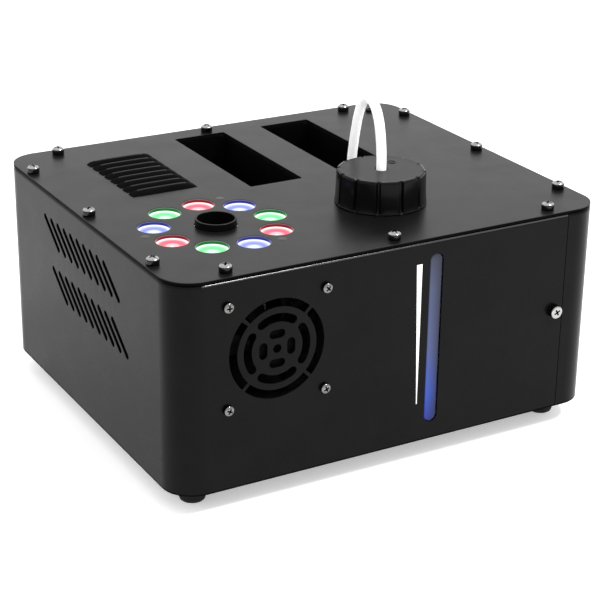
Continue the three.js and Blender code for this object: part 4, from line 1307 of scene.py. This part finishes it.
def rocker_switch():
    """A rocker with a shallow dished face and its on and off marks; its lower half is pressed at rest."""
    half, tilt = 13, math.radians(-10)
    face = [(3 - 1.25 * math.cos(math.pi / 2 * t / 6), 7.6 * t / 6) for t in range(-6, 7)]
    paddle = sheet([[*face, (0, 7.6), (-6, 3.6), (-6, -3.6), (0, -7.6)]], 2 * half, 0.6, 3)
    bar = moved(block(-0.5, 0.5, -2, 2, -0.2, 0.12, 0.2), upright(y=4.2))
    ring = moved(ring_solid([(1.3, -0.2), (2.1, -0.2), (2.1, 0.12), (1.3, 0.12)], 32), upright(y=-4.2))
    facing = Matrix(((0, 0, 1, 0), (1, 0, 0, 0), (0, 1, 0, 0), (0, 0, 0, 1)))
    moved(paddle, facing @ upright(z=half))
    marks = moved(joined(bar, ring), on_back(0, 2.35, 0))
    pin = Vector((INLET.x, node_box("mains_inlet")[1].y - 4.8, INLET.z + 18))
    whole = joined((paddle, 0), (marks, 1))
    moved(whole, Matrix.Translation(pin) @ Matrix.Rotation(tilt, 4, "X"))
    looks = [BLACK, PRINT]
    build("power_rocker", whole, looks, ["rocker_switch"], "rocker_switch", 30)


def fuse_drawer():
    (width, height, face), middle = size_on_back("fuse_drawer"), node_middle("fuse_drawer")
    notch = rounded_rect(0, height / 2 - 2.3, 9, 1.6, 0.6, 3)
    front = sheet([rounded_rect(0, 0, width, height, 1, 4), notch], 1.6, 0.3, 3)
    tray = moved(sheet([rounded_rect(0, 0, width - 3, height - 1.6, 0.6, 3)], 22, 0.3), upright(z=-1.5))
    bm = moved(joined(front, tray), on_back(middle.x, face, middle.z))
    build("fuse_holder", bm, BLACK, ["fuse_drawer"], "fuse_drawer")


def data_socket(k, centre, node_name, pins):
    width, height, face = size_on_back(node_name)
    well = circle(0, 0, SOCKET_WELL, 48)
    flange = sheet([rounded_rect(0, 0, width, height, 3), well], face - BACK - 0.1, 0.3)
    barrel = [(SOCKET_WELL, -15), (11.4, -15), (11.4, -1), (10.6, 0.55), (9.9, 0.55), (SOCKET_WELL, -0.2)]
    floor = moved(sheet([circle(0, 0, 11, 40)], 1.2, 0.1, 1), upright(z=-14.6))
    parts = [(flange, 0), (ring_solid(barrel, 48), 0), (floor, 0)]
    spots = [arc(0, 0, PIN_RING, a, a, 1)[0] for a in (30, 150, 270)]
    if pins:
        for px, pz in spots:
            pin = revolved(softened([(0, -3.2), (1.2, -3.2), (1.2, -15), (0, -15)], 0.5), 20)
            parts.append((moved(pin, upright(px, pz)), 1))
    else:
        core = sheet([circle(0, 0, SOCKET_CORE, 40), *(circle(*spot, 1.4, 20) for spot in spots)], 13.5, 0.3)
        tab = block(-2.6, 2.6, 12.2, 15.2, -1, 0.9, 0.5)
        parts += [(moved(core, upright(z=-0.7)), 0), (tab, 1)]
    whole = moved(joined(*parts), on_back(centre.x, face, centre.z))
    build(f"data_socket_{k + 1}", whole, [BLACK, BRASS], [node_name])
    screw = pan_screw_mesh("socket_screw", 0.55, DARK_NICKEL)
    out, up = width / 2 - 3.2, height / 2 - 3.2
    for j, (dx, dz) in enumerate([(-out, up), (out, -up)]):
        matrix = on_back(centre.x - dx, face, centre.z + dz) @ turned(50 * j)
        placed(f"socket_{k + 1}_screw_{j + 1}", screw, matrix)


control_panel()
menu_buttons()
mains_inlet()
rocker_switch()
fuse_drawer()
data_socket(0, SOCKETS[0], "dmx_in", True)
data_socket(1, SOCKETS[1], "dmx_out", False)


# ---------------------------------------------------------------- finishes of the CAD pieces that stay
def refinish():
    looks = {
        "base_plate": COAT, "cap_seal": RUBBER, "heater_block": ALUMINIUM, "pump": ALUMINIUM,
        "feed_pipe": ALUMINIUM, "pickup_tube": TANK, "pump_inlet_hose": SILICONE, "led_board": BOARD,
        "level_backlight": BOARD, "main_board": BOARD,
    }
    for name, material in looks.items():
        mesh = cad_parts[name].data
        mesh.materials.clear()
        mesh.materials.append(material)


refinish()


# ---------------------------------------------------------------- floor and light
def studio():
    bm = bmesh.new()
    bmesh.ops.create_grid(bm, x_segments=8, y_segments=8, size=12000)
    material, tree, shader = new_material(
        "pale_floor", Roughness=0.9, Specular_IOR_Level=0.1, Emission_Strength=0.42
    )
    tone = ramp(tree, noise(tree, 6, 3), [(0.3, 0.9), (0.7, 0.92)])
    feed(tree, shader, Base_Color=tone, Emission_Color=tone)
    floor = added("floor", finished(bm, "floor", material))
    floor.location.z = -0.0005


def area_light(name, place, target, size, power):
    data = bpy.data.lights.new(name, "AREA")
    data.shape = "RECTANGLE"
    data.size, data.size_y = size
    data.energy = power
    light = added(name, data)
    light.location = place
    light.rotation_euler = (Vector(target) - Vector(place)).to_track_quat("-Z", "Y").to_euler()


def light_up():
    world = bpy.data.worlds.new("studio")
    bpy.context.scene.world = world
    world.use_nodes = True
    background = world.node_tree.nodes["Background"]
    background.inputs["Color"].default_value = (1, 1, 1, 1)
    background.inputs["Strength"].default_value = 1.25
    area_light("key", (0.65, -0.85, 1.6), (-0.05, -0.1, 0.12), (0.4, 0.3), 20)
    scene = bpy.context.scene
    scene.view_settings.view_transform = "Standard"
    scene.view_settings.look = "None"


studio()
light_up()
